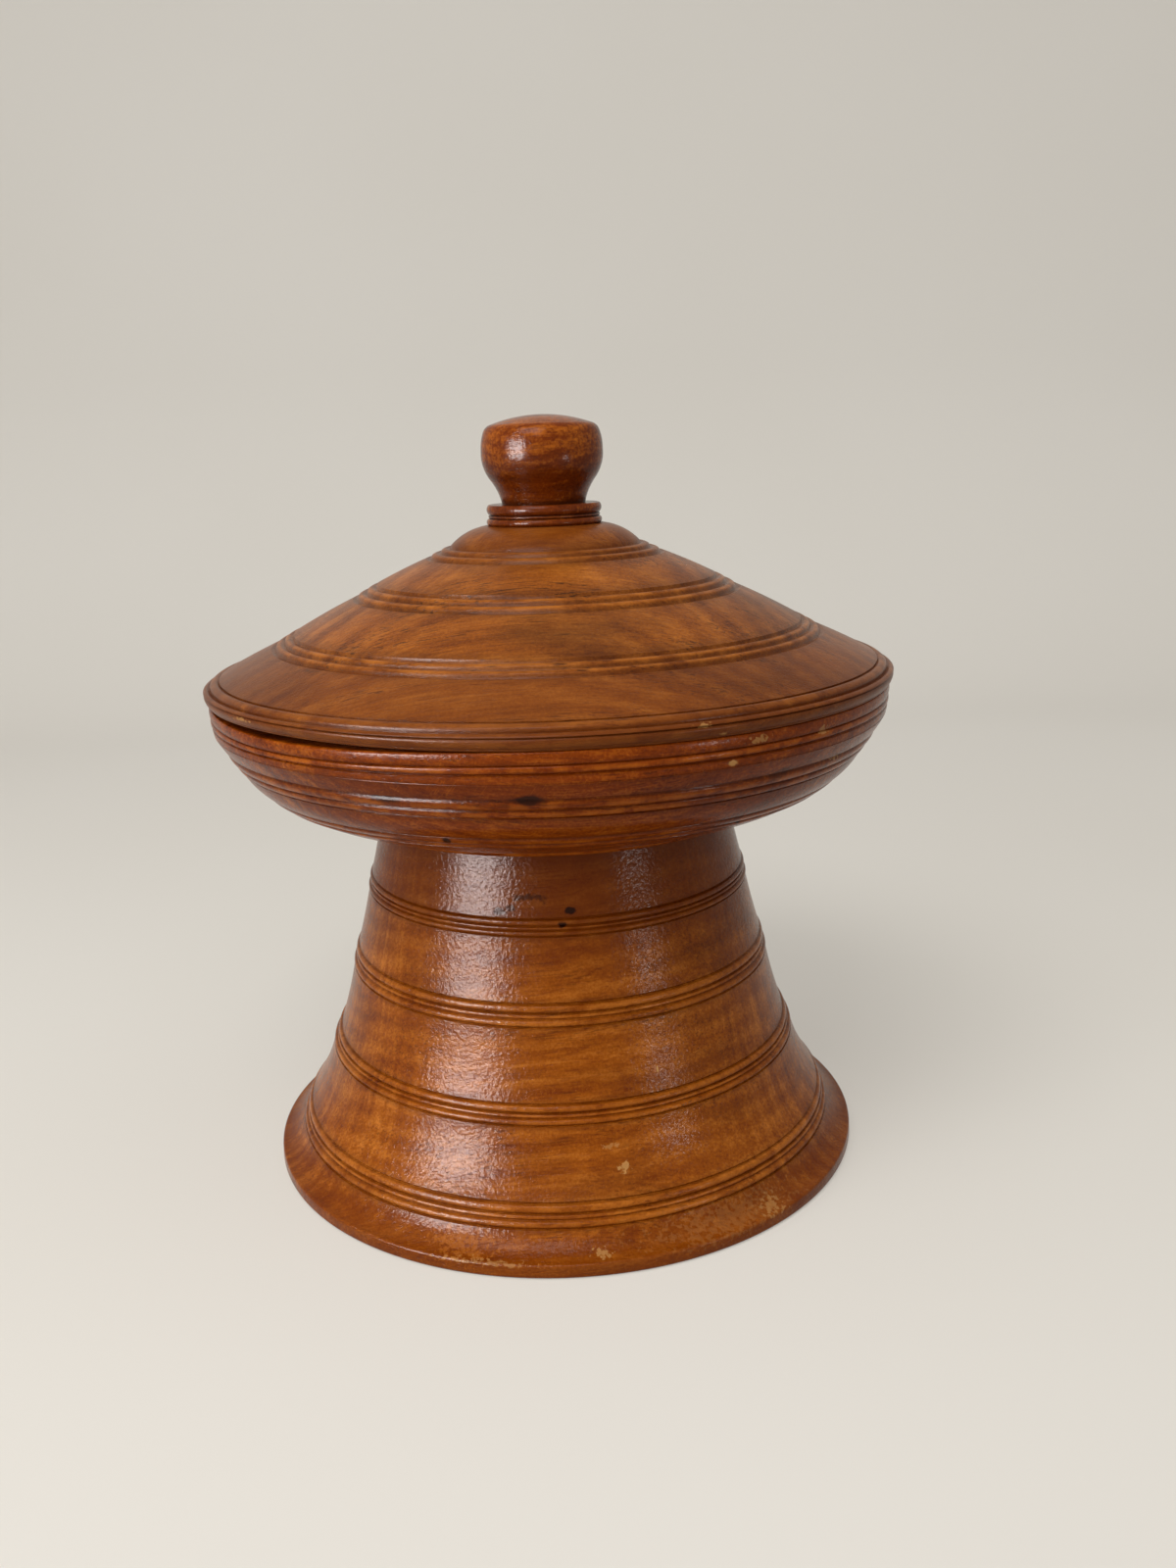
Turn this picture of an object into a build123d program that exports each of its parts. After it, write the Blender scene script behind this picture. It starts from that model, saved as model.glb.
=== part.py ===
"""A turned wooden offering box: a hollow flared foot, a shallow bowl seated and pegged on it,
and a hollow conical lid that lifts off by its wedged knob.

Millimetres, +Z up. The origin is the centre of the foot's underside, on the floor.
Every turned piece is half an outline, a radius and a height at each point, spun about the Z axis.
Heights on a piece are measured from its own seat: the foot's from the floor, the bowl's from the foot's neck,
the lid's from the bowl's rim and the knob's from the top of the lid.
"""

import math
import os

from build123d import *

# Foot
FOOT_RADIUS = 158.3
FOOT_EDGE_HEIGHT = 7.2
FOOT_EDGE_WORN = 1.0
FOOT_WALL = 13.0
FOOT_RING_WIDTH = 14.0
NECK_RADIUS = 91.8
NECK_HEIGHT = 187.6

# The foot's turned bands, lower and upper edge: the two low ones as (distance in from the foot's radius, height),
# the two high ones as (distance out from the neck's radius, height)
FOOT_LOW_BANDS = (
    ((13.0, 17.0), (18.0, 28.9)),
    ((32.2, 59.4), (36.9, 69.4)),
)
FOOT_HIGH_BANDS = (
    ((20.4, 103.1), (17.1, 115.0)),
    ((9.6, 144.8), (7.6, 154.0)),
)
# How far each plain stretch below a band is hollowed, from the foot's edge up to the neck
FOOT_HOLLOWS = (1.5, 1.6, 0.6, 0.3, 0.3)

# Spigot on top of the foot, and the bowl's socket over it
SPIGOT_SHOULDER = 5.8
SPIGOT_LENGTH = 12.0
SPIGOT_WALL = 11.0
SOCKET_CLEARANCE = 0.1
SOCKET_HEADROOM = 0.4

# Pegs that lock the spigot in the socket, driven outwards from inside the foot
PEG_COUNT = 3
PEG_RADIUS = 2.5
PEG_LENGTH = 27.0
PEG_CLEARANCE = 0.05
PEG_FIRST_AZIMUTH = 90.0

# Bowl
BOWL_RIM_RADIUS = 174.0
BOWL_HEIGHT = 63.6
BOWL_RIM_WIDTH = 13.0
BOWL_RIM_BEAD_RISE = 0.3
BOWL_FLOOR_HEIGHT = 22.9
BOWL_FLOOR_RADIUS = 118.0
BOWL_MOUTH_DEPTH = 11.0
BOWL_HOLLOW_RISE = 9.0
BOWL_RING_WIDTH = 20.2
BOWL_RING_HEIGHT = 3.0
BOWL_RING_RISE = 0.5
BOWL_UNDERSIDE_RISE = 1.4
BOWL_SIDE_RISE = 0.9
BOWL_BRIM_RISE = 0.4
EDGE_ROUNDING = 1.0

# The bowl's turned bands, lower and upper edge as (distance in from the rim's radius, depth below the rim)
BOWL_LOW_BAND = ((31.1, 49.7), (22.0, 42.7))
BOWL_MIDDLE_BAND = ((12.5, 31.6), (5.8, 21.2))
BOWL_RIM_BAND = ((0.8, 10.5), (0.5, 5.5))

# The rim has sunk a little in one place, so the lid stands open there
RIM_DIP_DEPTH = 3.0
RIM_DIP_WIDTH = 210.0
RIM_DIP_AZIMUTH = -40.0

# Lid
LID_OVERHANG = 2.0
LID_HEIGHT = 80.4
LID_WIDEST_HEIGHT = 6.3
LID_EDGE_INSET = 1.8
LID_WALL = 10.0
LID_FLANGE_DEPTH = 8.0
LID_FLANGE_WIDTH = 7.0
LID_FLANGE_CLEARANCE = 1.6
LID_CROWN_RISES = (0.3, 0.4, 0.3)
LID_CROWN_SHOULDER_RISE = 2.0
LID_CEILING_RADIUS = 44.0
LID_CEILING_BELOW_BAND = 7.4

# The lid's rim band starts at its widest line and ends at this (distance in from its radius, height)
LID_SHOULDER = (8.2, 11.4)
# The lid's other bands, lower and upper edge: the outer one as (distance in from the lid's radius, height),
# the two near the crown as (radius, height)
LID_OUTER_BAND = ((34.5, 24.1), (46.3, 30.8))
LID_CROWN_BANDS = (
    ((99.6, 46.2), (86.6, 53.5)),
    ((61.4, 64.9), (48.2, 71.2)),
)

# Knob and the two-bead collar under it
KNOB_SEAT_RADIUS = 28.6
KNOB_HEIGHT = 54.0
COLLAR_RADIUS = 29.4
COLLAR_LOW_BEAD = 3.6
COLLAR_FILLET = 1.6
COLLAR_FILLET_RISE = 0.5
COLLAR_HIGH_BEAD = 5.0
COLLAR_GROOVE_RADIUS = 28.0
KNOB_NECK_RADIUS = 21.2
KNOB_NECK_RISE = 1.8
KNOB_RADIUS = 30.9
KNOB_WIDEST_BELOW_TOP = 17.1
KNOB_UNDERSIDE_RADIUS = 26.0
KNOB_UNDERSIDE_RISE_ABOVE_NECK = 9.4
KNOB_UNDERSIDE_HOLLOW = 0.5
KNOB_UNDERSIDE_SWELL = 1.6
KNOB_SIDE_RADIUS = 29.4
KNOB_SIDE_BELOW_TOP = 8.1
KNOB_SIDE_SWELL = 0.4
KNOB_SHOULDER_RADIUS = 25.0
KNOB_SHOULDER_BELOW_TOP = 4.3
KNOB_SHOULDER_SWELL = 0.8

# Tenon below the collar, through the lid, and the wedge that spreads it
TENON_RADIUS = 11.0
TENON_BELOW_CEILING = 2.0
TENON_CLEARANCE = 0.05
WEDGE_THICK_END = 3.4
WEDGE_THIN_END = 1.0
WEDGE_LENGTH = 16.0
WEDGE_WIDTH = 19.0
WEDGE_CLEARANCE = 0.05

# Each kind of band from its lower edge up, as (width, rise) of each cut: a groove sinks and a bead rises.
# The widths share out the band's length.
FOOT_CUTS = ((0.9, -0.5), (2.3, 0.7), (0.8, -0.3), (1.2, 0.2), (0.9, -0.5), (2.8, 0.8), (1.0, -0.5))
BOWL_LOW_CUTS = ((1.0, -0.5), (2.9, 0.5), (1.0, -0.5), (5.0, 0.6), (1.0, -0.5))
BOWL_MIDDLE_CUTS = ((1.0, -0.5), (3.6, 0.5), (1.1, -0.5), (4.4, 0.6), (2.0, -0.6))
BOWL_RIM_CUTS = ((1.4, -0.5), (2.7, 0.4), (0.9, -0.5))
LID_RIM_CUTS = ((2.2, 0.3), (1.7, -0.6), (3.4, 0.6), (1.2, -0.4))
LID_CUTS = ((3.2, -0.8), (2.3, 0.3), (2.6, -0.7), (2.3, 0.3), (2.7, -0.8))

SPIGOT_RADIUS = NECK_RADIUS - SPIGOT_SHOULDER
SPIGOT_BORE_RADIUS = SPIGOT_RADIUS - SPIGOT_WALL
PEG_HEIGHT = NECK_HEIGHT + SPIGOT_LENGTH / 2
BOWL_MOUTH_RADIUS = BOWL_RIM_RADIUS - BOWL_RIM_WIDTH
RIM_HEIGHT = NECK_HEIGHT + BOWL_HEIGHT
LID_RADIUS = BOWL_RIM_RADIUS + LID_OVERHANG
LID_CEILING_HEIGHT = LID_CROWN_BANDS[-1][1][1] - LID_CEILING_BELOW_BAND
KNOB_SEAT_HEIGHT = RIM_HEIGHT + LID_HEIGHT
TENON_LENGTH = LID_HEIGHT - LID_CEILING_HEIGHT + TENON_BELOW_CEILING

# How far the middle of a quarter round stands off its chord, as a share of its radius
QUARTER_ROUND_RISE = 1 - math.sqrt(0.5)


class Outline:
    """A closed outline of radii and of heights above a seat, drawn anticlockwise, so its right is outside."""

    def __init__(self, seat, radius, height):
        self.seat = seat
        self.start = (radius, height)
        self.at = self.start
        self.edges = []

    def point(self, radius, height):
        """Return a place on the outline as a point of the model."""
        return radius, 0, self.seat + height

    def line(self, radius, height):
        """Draw a straight edge to a point."""
        self.edges.append(Line(self.point(*self.at), self.point(radius, height)))
        self.at = (radius, height)
        return self

    def off_chord(self, radius, height, off):
        """Return the middle of the way to a point, moved square to it, out of the wood or in if negative."""
        run, climb = radius - self.at[0], height - self.at[1]
        chord = math.hypot(run, climb)
        return (self.at[0] + radius) / 2 + off * climb / chord, (self.at[1] + height) / 2 - off * run / chord

    def arc(self, radius, height, rise):
        """Draw an arc to a point, whose middle stands out of the wood's face by rise, or in if negative."""
        middle = self.point(*self.off_chord(radius, height, rise))
        self.edges.append(ThreePointArc(self.point(*self.at), middle, self.point(radius, height)))
        self.at = (radius, height)
        return self

    def quarter_round(self, radius, height):
        """Draw a rounded corner to a point."""
        rounding = math.hypot(radius - self.at[0], height - self.at[1]) / math.sqrt(2)
        return self.arc(radius, height, rounding * QUARTER_ROUND_RISE)

    def dome(self, height):
        """Draw an arc to the Z axis that is level where it meets it."""
        chord = math.hypot(self.at[0], height - self.at[1])
        slope = math.atan2(height - self.at[1], self.at[0])
        return self.arc(0, height, chord / 2 * math.tan(slope / 2))

    def band(self, radius, height, cuts):
        """Draw a turned band to a point: grooves cut to a V, and round beads."""
        first = self.at
        whole = sum(width for width, rise in cuts)
        done = 0
        for width, rise in cuts:
            done += width / whole
            end = (first[0] + (radius - first[0]) * done, first[1] + (height - first[1]) * done)
            if rise < 0:
                self.line(*self.off_chord(*end, rise))
                self.line(*end)
            else:
                self.arc(*end, rise)
        return self

    def spin(self):
        """Close the outline and turn it once about the Z axis."""
        if self.at != self.start:
            self.line(*self.start)
        return revolve(make_face(self.edges), Axis.Z)


def foot_bands():
    """Return the foot's bands from the floor up, each edge as (radius, height)."""
    low = [[(FOOT_RADIUS - inset, height) for inset, height in band] for band in FOOT_LOW_BANDS]
    high = [[(NECK_RADIUS + outset, height) for outset, height in band] for band in FOOT_HIGH_BANDS]
    return low + high


def bowl_band(band):
    """Return the edges of one of the bowl's bands as (radius, height)."""
    return [(BOWL_RIM_RADIUS - inset, BOWL_HEIGHT - depth) for inset, depth in band]


def lid_bands():
    """Return the lid's bands above its rim, from the outside in, each edge as (radius, height)."""
    return [[(LID_RADIUS - inset, height) for inset, height in LID_OUTER_BAND], *LID_CROWN_BANDS]


def inside_of(outer, next_outer, wall):
    """Return the point one wall thickness inside an outer point, square to the way to the next one."""
    run, climb = next_outer[0] - outer[0], next_outer[1] - outer[1]
    length = math.hypot(run, climb)
    return outer[0] - wall * climb / length, outer[1] + wall * run / length


def peg_place(index):
    """Return the turn that carries a peg from the +X axis to its own place."""
    return Rot(0, 0, PEG_FIRST_AZIMUTH + 360 / PEG_COUNT * index)


def peg_shape(radius, start, length):
    """Return a round bar along +X at the pegs' height, from a distance off the Z axis."""
    return Pos(start, 0, PEG_HEIGHT) * Rot(0, 90, 0) * Cylinder(
        radius, length, align=(Align.CENTER, Align.CENTER, Align.MIN)
    )


def wedge_shape(clearance):
    """Return the wedge, thick end down, or its slot when a clearance is given."""
    thick = WEDGE_THICK_END / 2 + clearance
    thin = WEDGE_THIN_END / 2 + clearance
    bottom = KNOB_SEAT_HEIGHT - TENON_LENGTH
    top = bottom + WEDGE_LENGTH + clearance
    corners = ((-thick, bottom), (thick, bottom), (thin, top), (-thin, top))
    side = make_face(Polyline(*((x, 0, z) for x, z in corners), close=True))
    return extrude(side, WEDGE_WIDTH / 2 + clearance, both=True)


def make_pedestal():
    """The hollow foot: a trumpet with four turned bands, open below, with a spigot on top."""
    bands = foot_bands()
    outline = Outline(0, FOOT_RADIUS - FOOT_RING_WIDTH, 0)
    outline.line(FOOT_RADIUS - FOOT_EDGE_WORN, 0)
    outline.line(FOOT_RADIUS, FOOT_EDGE_WORN)
    outline.line(FOOT_RADIUS, FOOT_EDGE_HEIGHT - FOOT_EDGE_WORN)
    outline.line(FOOT_RADIUS - FOOT_EDGE_WORN, FOOT_EDGE_HEIGHT)
    for (low, high), hollow in zip(bands, FOOT_HOLLOWS):
        outline.arc(*low, -hollow)
        outline.band(*high, FOOT_CUTS)
    outline.arc(NECK_RADIUS, NECK_HEIGHT, -FOOT_HOLLOWS[-1])
    outline.line(SPIGOT_RADIUS, NECK_HEIGHT)
    outline.line(SPIGOT_RADIUS, NECK_HEIGHT + SPIGOT_LENGTH)
    outline.line(SPIGOT_BORE_RADIUS, NECK_HEIGHT + SPIGOT_LENGTH)
    outline.line(SPIGOT_BORE_RADIUS, NECK_HEIGHT - FOOT_WALL)
    middles = [((low[0] + high[0]) / 2, (low[1] + high[1]) / 2) for low, high in bands]
    for lower, upper in zip(middles[-2::-1], middles[:0:-1]):
        outline.line(*inside_of(upper, (2 * upper[0] - lower[0], 2 * upper[1] - lower[1]), FOOT_WALL))
    pedestal = outline.spin()
    for index in range(PEG_COUNT):
        start = SPIGOT_BORE_RADIUS - PEG_RADIUS
        pedestal -= peg_place(index) * peg_shape(PEG_RADIUS + PEG_CLEARANCE, start, PEG_LENGTH)
    return pedestal


def make_bowl():
    """The shallow bowl: a socket and its ring underneath, three turned bands, a rim that has sunk in one place."""
    low, middle, brim = bowl_band(BOWL_LOW_BAND), bowl_band(BOWL_MIDDLE_BAND), bowl_band(BOWL_RIM_BAND)
    socket_radius = SPIGOT_RADIUS + SOCKET_CLEARANCE
    socket_depth = SPIGOT_LENGTH + SOCKET_HEADROOM
    ring_radius = NECK_RADIUS + BOWL_RING_WIDTH
    outline = Outline(NECK_HEIGHT, 0, socket_depth)
    outline.line(socket_radius, socket_depth)
    outline.line(socket_radius, 0)
    outline.line(ring_radius - BOWL_RING_HEIGHT, 0)
    outline.arc(ring_radius, BOWL_RING_HEIGHT, BOWL_RING_RISE)
    outline.arc(*low[0], BOWL_UNDERSIDE_RISE)
    outline.band(*low[1], BOWL_LOW_CUTS)
    outline.arc(*middle[0], BOWL_SIDE_RISE)
    outline.band(*middle[1], BOWL_MIDDLE_CUTS)
    outline.arc(*brim[0], BOWL_BRIM_RISE)
    outline.band(*brim[1], BOWL_RIM_CUTS)
    outline.arc(BOWL_RIM_RADIUS, BOWL_HEIGHT - EDGE_ROUNDING, BOWL_RIM_BEAD_RISE)
    outline.quarter_round(BOWL_RIM_RADIUS - EDGE_ROUNDING, BOWL_HEIGHT)
    outline.line(BOWL_MOUTH_RADIUS, BOWL_HEIGHT)
    outline.line(BOWL_MOUTH_RADIUS, BOWL_HEIGHT - BOWL_MOUTH_DEPTH)
    outline.arc(BOWL_FLOOR_RADIUS, BOWL_FLOOR_HEIGHT, -BOWL_HOLLOW_RISE)
    outline.line(0, BOWL_FLOOR_HEIGHT)
    bowl = outline.spin()
    for index in range(PEG_COUNT):
        start = SPIGOT_BORE_RADIUS - PEG_RADIUS
        bowl -= peg_place(index) * peg_shape(PEG_RADIUS + PEG_CLEARANCE, start, PEG_LENGTH + PEG_RADIUS)
    return bowl - rim_dip()


def rim_dip():
    """Return the wide round bar that is taken off the rim where it has sunk, on one side of the bowl only."""
    radius = (RIM_DIP_WIDTH ** 2 / 4 + RIM_DIP_DEPTH ** 2) / (2 * RIM_DIP_DEPTH)
    bar = Rot(90, 0, 0) * Cylinder(radius, BOWL_RIM_RADIUS * 2, align=(Align.CENTER, Align.MIN, Align.MIN))
    return Rot(0, 0, RIM_DIP_AZIMUTH) * Pos(0, 0, RIM_HEIGHT - RIM_DIP_DEPTH) * bar


def make_bowl_pegs():
    """The round pegs, each flush with the spigot's bore and blind in the bowl's ring."""
    peg = peg_shape(PEG_RADIUS, SPIGOT_BORE_RADIUS + PEG_CLEARANCE, PEG_LENGTH - PEG_RADIUS)
    return Compound(children=[peg_place(index) * peg for index in range(PEG_COUNT)])


def make_lid():
    """The hollow conical lid: a flange that drops inside the bowl's mouth, and a bore for the knob's tenon."""
    flange_radius = BOWL_MOUTH_RADIUS - LID_FLANGE_CLEARANCE
    hollow_radius = flange_radius - LID_FLANGE_WIDTH
    edge_radius = LID_RADIUS - LID_EDGE_INSET
    shoulder = (LID_RADIUS - LID_SHOULDER[0], LID_SHOULDER[1])
    bands = lid_bands()
    outline = Outline(RIM_HEIGHT, hollow_radius, -LID_FLANGE_DEPTH)
    outline.line(flange_radius, -LID_FLANGE_DEPTH)
    outline.line(flange_radius, 0)
    outline.line(edge_radius - EDGE_ROUNDING, 0)
    outline.quarter_round(edge_radius, EDGE_ROUNDING)
    outline.line(LID_RADIUS, LID_WIDEST_HEIGHT)
    outline.band(*shoulder, LID_RIM_CUTS)
    for (low, high), rise in zip(bands, LID_CROWN_RISES):
        outline.arc(*low, rise)
        outline.band(*high, LID_CUTS)
    outline.arc(KNOB_SEAT_RADIUS, LID_HEIGHT, LID_CROWN_SHOULDER_RISE)
    bore = TENON_RADIUS + TENON_CLEARANCE
    outline.line(bore, LID_HEIGHT)
    outline.line(bore, LID_CEILING_HEIGHT)
    outline.line(LID_CEILING_RADIUS, LID_CEILING_HEIGHT)
    crown = bands[-1][0]
    slope = (shoulder[1] - crown[1]) / (shoulder[0] - crown[0])
    under = inside_of(shoulder, crown, LID_WALL)
    outline.line(hollow_radius, under[1] + slope * (hollow_radius - under[0]))
    return outline.spin()


def make_knob():
    """The mushroom knob with its collar and the slotted tenon below."""
    fillet_top = COLLAR_LOW_BEAD + COLLAR_FILLET
    collar_top = fillet_top + COLLAR_HIGH_BEAD
    neck_height = collar_top + KNOB_NECK_RISE
    outline = Outline(KNOB_SEAT_HEIGHT, 0, -TENON_LENGTH)
    outline.line(TENON_RADIUS, -TENON_LENGTH)
    outline.line(TENON_RADIUS, 0)
    outline.line(KNOB_SEAT_RADIUS, 0)
    outline.arc(COLLAR_GROOVE_RADIUS, COLLAR_LOW_BEAD, COLLAR_RADIUS - COLLAR_GROOVE_RADIUS)
    outline.arc(COLLAR_GROOVE_RADIUS, fillet_top, COLLAR_FILLET_RISE)
    outline.line(COLLAR_RADIUS - EDGE_ROUNDING, fillet_top)
    outline.arc(COLLAR_RADIUS - EDGE_ROUNDING, collar_top, EDGE_ROUNDING)
    outline.line(KNOB_NECK_RADIUS, collar_top)
    outline.line(KNOB_NECK_RADIUS, neck_height)
    underside_height = neck_height + KNOB_UNDERSIDE_RISE_ABOVE_NECK
    outline.arc(KNOB_UNDERSIDE_RADIUS, underside_height, -KNOB_UNDERSIDE_HOLLOW)
    outline.arc(KNOB_RADIUS, KNOB_HEIGHT - KNOB_WIDEST_BELOW_TOP, KNOB_UNDERSIDE_SWELL)
    outline.arc(KNOB_SIDE_RADIUS, KNOB_HEIGHT - KNOB_SIDE_BELOW_TOP, KNOB_SIDE_SWELL)
    outline.arc(KNOB_SHOULDER_RADIUS, KNOB_HEIGHT - KNOB_SHOULDER_BELOW_TOP, KNOB_SHOULDER_SWELL)
    outline.dome(KNOB_HEIGHT)
    return outline.spin() - wedge_shape(WEDGE_CLEARANCE)


def make_knob_wedge():
    """The hardwood wedge in the tenon's slot."""
    return wedge_shape(0)


PIECES = {
    "pedestal": make_pedestal,
    "bowl": make_bowl,
    "bowl_pegs": make_bowl_pegs,
    "lid": make_lid,
    "knob": make_knob,
    "knob_wedge": make_knob_wedge,
}

if __name__ == "__main__":
    os.makedirs("parts", exist_ok=True)
    for name, make in PIECES.items():
        export_step(make(), os.path.join("parts", name + ".step"))
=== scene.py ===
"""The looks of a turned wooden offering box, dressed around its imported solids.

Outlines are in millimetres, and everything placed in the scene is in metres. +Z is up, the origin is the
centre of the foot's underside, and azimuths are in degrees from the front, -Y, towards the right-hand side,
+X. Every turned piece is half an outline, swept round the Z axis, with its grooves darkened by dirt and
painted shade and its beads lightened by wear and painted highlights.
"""

import logging
import math
from dataclasses import dataclass
from enum import Enum

import bmesh
import bpy
import numpy as np
from mathutils import Matrix, Vector

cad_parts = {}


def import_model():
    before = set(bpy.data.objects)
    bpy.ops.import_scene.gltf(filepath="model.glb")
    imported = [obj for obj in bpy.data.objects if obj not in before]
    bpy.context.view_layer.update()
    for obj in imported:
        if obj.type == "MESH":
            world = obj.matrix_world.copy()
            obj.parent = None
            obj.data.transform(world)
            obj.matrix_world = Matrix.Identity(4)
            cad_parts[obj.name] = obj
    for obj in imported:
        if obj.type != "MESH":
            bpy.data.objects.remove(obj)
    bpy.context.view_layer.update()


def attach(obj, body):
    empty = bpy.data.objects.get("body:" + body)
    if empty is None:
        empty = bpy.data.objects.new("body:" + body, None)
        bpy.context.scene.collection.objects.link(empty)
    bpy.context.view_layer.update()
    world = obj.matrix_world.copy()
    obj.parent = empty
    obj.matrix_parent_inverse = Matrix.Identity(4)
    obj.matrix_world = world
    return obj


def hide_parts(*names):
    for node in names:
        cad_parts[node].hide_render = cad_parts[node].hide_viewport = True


LOG = logging.getLogger("offering_box")
MM = 0.001
PHOTO_HEIGHT = 1600

Colour = tuple[float, float, float, float]


def srgb(red: int, green: int, blue: int) -> Colour:
    """Turn a colour as a screen shows it into the light that it stands for.

    Args:
        red: red from 0 to 255.
        green: green from 0 to 255.
        blue: blue from 0 to 255.

    Returns:
        The same colour in linear light, with full alpha.
    """
    shown = (value / 255 for value in (red, green, blue))
    return (*(v / 12.92 if v <= 0.04045 else ((v + 0.055) / 1.055) ** 2.4 for v in shown), 1.0)


class Wire:
    """A value that flows out of a node. Arithmetic on it adds Math nodes."""

    def __init__(self, graph: "Graph", socket: bpy.types.NodeSocket) -> None:
        """Hold a node's output socket and the tree that it is in."""
        self.graph = graph
        self.socket = socket

    def maths(self, operation: str, *values: "Wire | float") -> "Wire":
        """Add one Math node on the given values, and return its result."""
        return self.graph.add("ShaderNodeMath", {"operation": operation}, dict(enumerate(values)))

    def __add__(self, other: "Wire | float") -> "Wire":
        """Return self + other."""
        return self.maths("ADD", self, other)

    __radd__ = __add__

    def __sub__(self, other: "Wire | float") -> "Wire":
        """Return self - other."""
        return self.maths("SUBTRACT", self, other)

    def __rsub__(self, other: float) -> "Wire":
        """Return other - self."""
        return self.maths("SUBTRACT", other, self)

    def __mul__(self, other: "Wire | float") -> "Wire":
        """Return self * other."""
        return self.maths("MULTIPLY", self, other)

    __rmul__ = __mul__

    def __truediv__(self, other: "Wire | float") -> "Wire":
        """Return self / other."""
        return self.maths("DIVIDE", self, other)

    def __pow__(self, other: float) -> "Wire":
        """Return self to a power."""
        return self.maths("POWER", self, other)

    def out(self, name: str) -> "Wire":
        """Return another output of the same node."""
        return Wire(self.graph, self.graph.find(self.socket.node.outputs, name))

    def fade(self, low: "Wire | float", high: "Wire | float") -> "Wire":
        """Return 0 below low, 1 above high and a smooth ramp between them."""
        return self.graph.add(
            "ShaderNodeMapRange",
            {"interpolation_type": "SMOOTHSTEP"},
            {"Value": self, "From Min": low, "From Max": high},
        )

    def most(self, other: "Wire | float") -> "Wire":
        """Return the larger of the two values."""
        return self.maths("MAXIMUM", self, other)


class Graph:
    """A node tree while it is drawn."""

    def __init__(self, tree: bpy.types.NodeTree) -> None:
        """Hold the tree."""
        self.tree = tree

    @staticmethod
    def find(sockets: bpy.types.bpy_prop_collection, key: str | int) -> bpy.types.NodeSocket:
        """Find one socket of a node.

        Args:
            sockets: the node's inputs or its outputs.
            key: the socket's place among them, or its name.

        Returns:
            The socket at that place, or the one in use that has that name.
        """
        if isinstance(key, int):
            return sockets[key]
        return next(socket for socket in sockets if socket.name == key and socket.enabled)

    def add(self, kind: str, settings: dict | None = None, sockets: dict | None = None,
            output: str | int = 0) -> Wire:
        """Add a node.

        Args:
            kind: the node's type.
            settings: its settings, which are made first; "stops" are a colour ramp's places and colours.
            sockets: a value or a wire for each input that is named or numbered.
            output: the output to return.

        Returns:
            The output as a wire, or the first input of a node that has no output.
        """
        node = self.tree.nodes.new(kind)
        for name, value in (settings or {}).items():
            if name == "stops":
                self._place_stops(node.color_ramp, value)
            else:
                setattr(node, name, value)
        for key, value in (sockets or {}).items():
            socket = self.find(node.inputs, key)
            if isinstance(value, Wire):
                self.tree.links.new(value.socket, socket)
            else:
                socket.default_value = value
        if not len(node.outputs):
            return Wire(self, node.inputs[0])
        return Wire(self, self.find(node.outputs, output))

    @staticmethod
    def _place_stops(ramp: bpy.types.ColorRamp, stops: tuple[tuple[float, Colour], ...]) -> None:
        """Give a colour ramp its stops.

        Args:
            ramp: a new ramp, which starts with two stops.
            stops: the place and the colour of each stop, at least two, from left to right.
        """
        for place, _ in stops[2:]:
            ramp.elements.new(place)
        for element, (place, colour) in zip(ramp.elements, stops):
            element.position = place
            element.color = colour

    def blend(self, factor: Wire | float, first: Wire | Colour, second: Wire | Colour) -> Wire:
        """Mix two colours, and return the first at a factor of 0 and the second at 1."""
        return self.add(
            "ShaderNodeMix",
            {"data_type": "RGBA", "clamp_factor": True},
            {"Factor": factor, "A": first, "B": second},
            "Result",
        )

    def move(self, vector: Wire, shift: Wire | tuple[float, float, float]) -> Wire:
        """Add a shift to a vector."""
        return self.add("ShaderNodeVectorMath", {"operation": "ADD"}, {0: vector, 1: shift})

    def stretch(self, vector: Wire, scales: tuple[float, float, float]) -> Wire:
        """Multiply a vector's parts by scales."""
        return self.add("ShaderNodeVectorMath", {"operation": "MULTIPLY"}, {0: vector, 1: scales})

    def noise(self, vector: Wire, scale: float = 1.0, detail: float = 2.0, output: str = "Fac") -> Wire:
        """Add a noise texture, and return its value or, as output "Color", its three values."""
        sockets = {"Vector": vector, "Scale": scale, "Detail": detail}
        return self.add("ShaderNodeTexNoise", {}, sockets, output)

    def parts(self, vector: Wire) -> tuple[Wire, Wire, Wire]:
        """Return a vector's x, y and z."""
        x = self.add("ShaderNodeSeparateXYZ", {}, {"Vector": vector}, "X")
        return x, x.out("Y"), x.out("Z")

    def vector(self, x: Wire | float, y: Wire | float, z: Wire | float) -> Wire:
        """Return the vector that has the given x, y and z."""
        return self.add("ShaderNodeCombineXYZ", {}, {"X": x, "Y": y, "Z": z})


# How the outlines are drawn: points across each cut, an arc's longest step in millimetres and in degrees,
# the least rise that is drawn as an arc, and how steeply a groove's walls fall (1 is a plain V)
STROKE_STEPS = 8
ARC_STEP = 2.5
ARC_DEGREES = 12
LEAST_RISE = 1e-6
GROOVE_POWER = 1.3

# How dirt with painted shade and wear with painted highlights fade away from the middle of a cut: the share
# of its half width, and the dirt and shade's further reach
SPOT_SPREAD = 0.62
DIRT_AND_SHADE_REACH = 0.16


class Cut(Enum):
    """What the turner's tool leaves across one stretch of an outline."""

    GROOVE = "groove"
    BEAD = "bead"

    def shape(self, along: np.ndarray) -> np.ndarray:
        """Shape the cut.

        Args:
            along: places across the cut, as shares of its width.

        Returns:
            How far the cut stands off the wood at each place, from 0 to 1.
        """
        across = 2 * along - 1
        if self is Cut.GROOVE:
            return 1 - np.abs(across) ** GROOVE_POWER
        return np.sqrt(1 - across ** 2)


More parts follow.
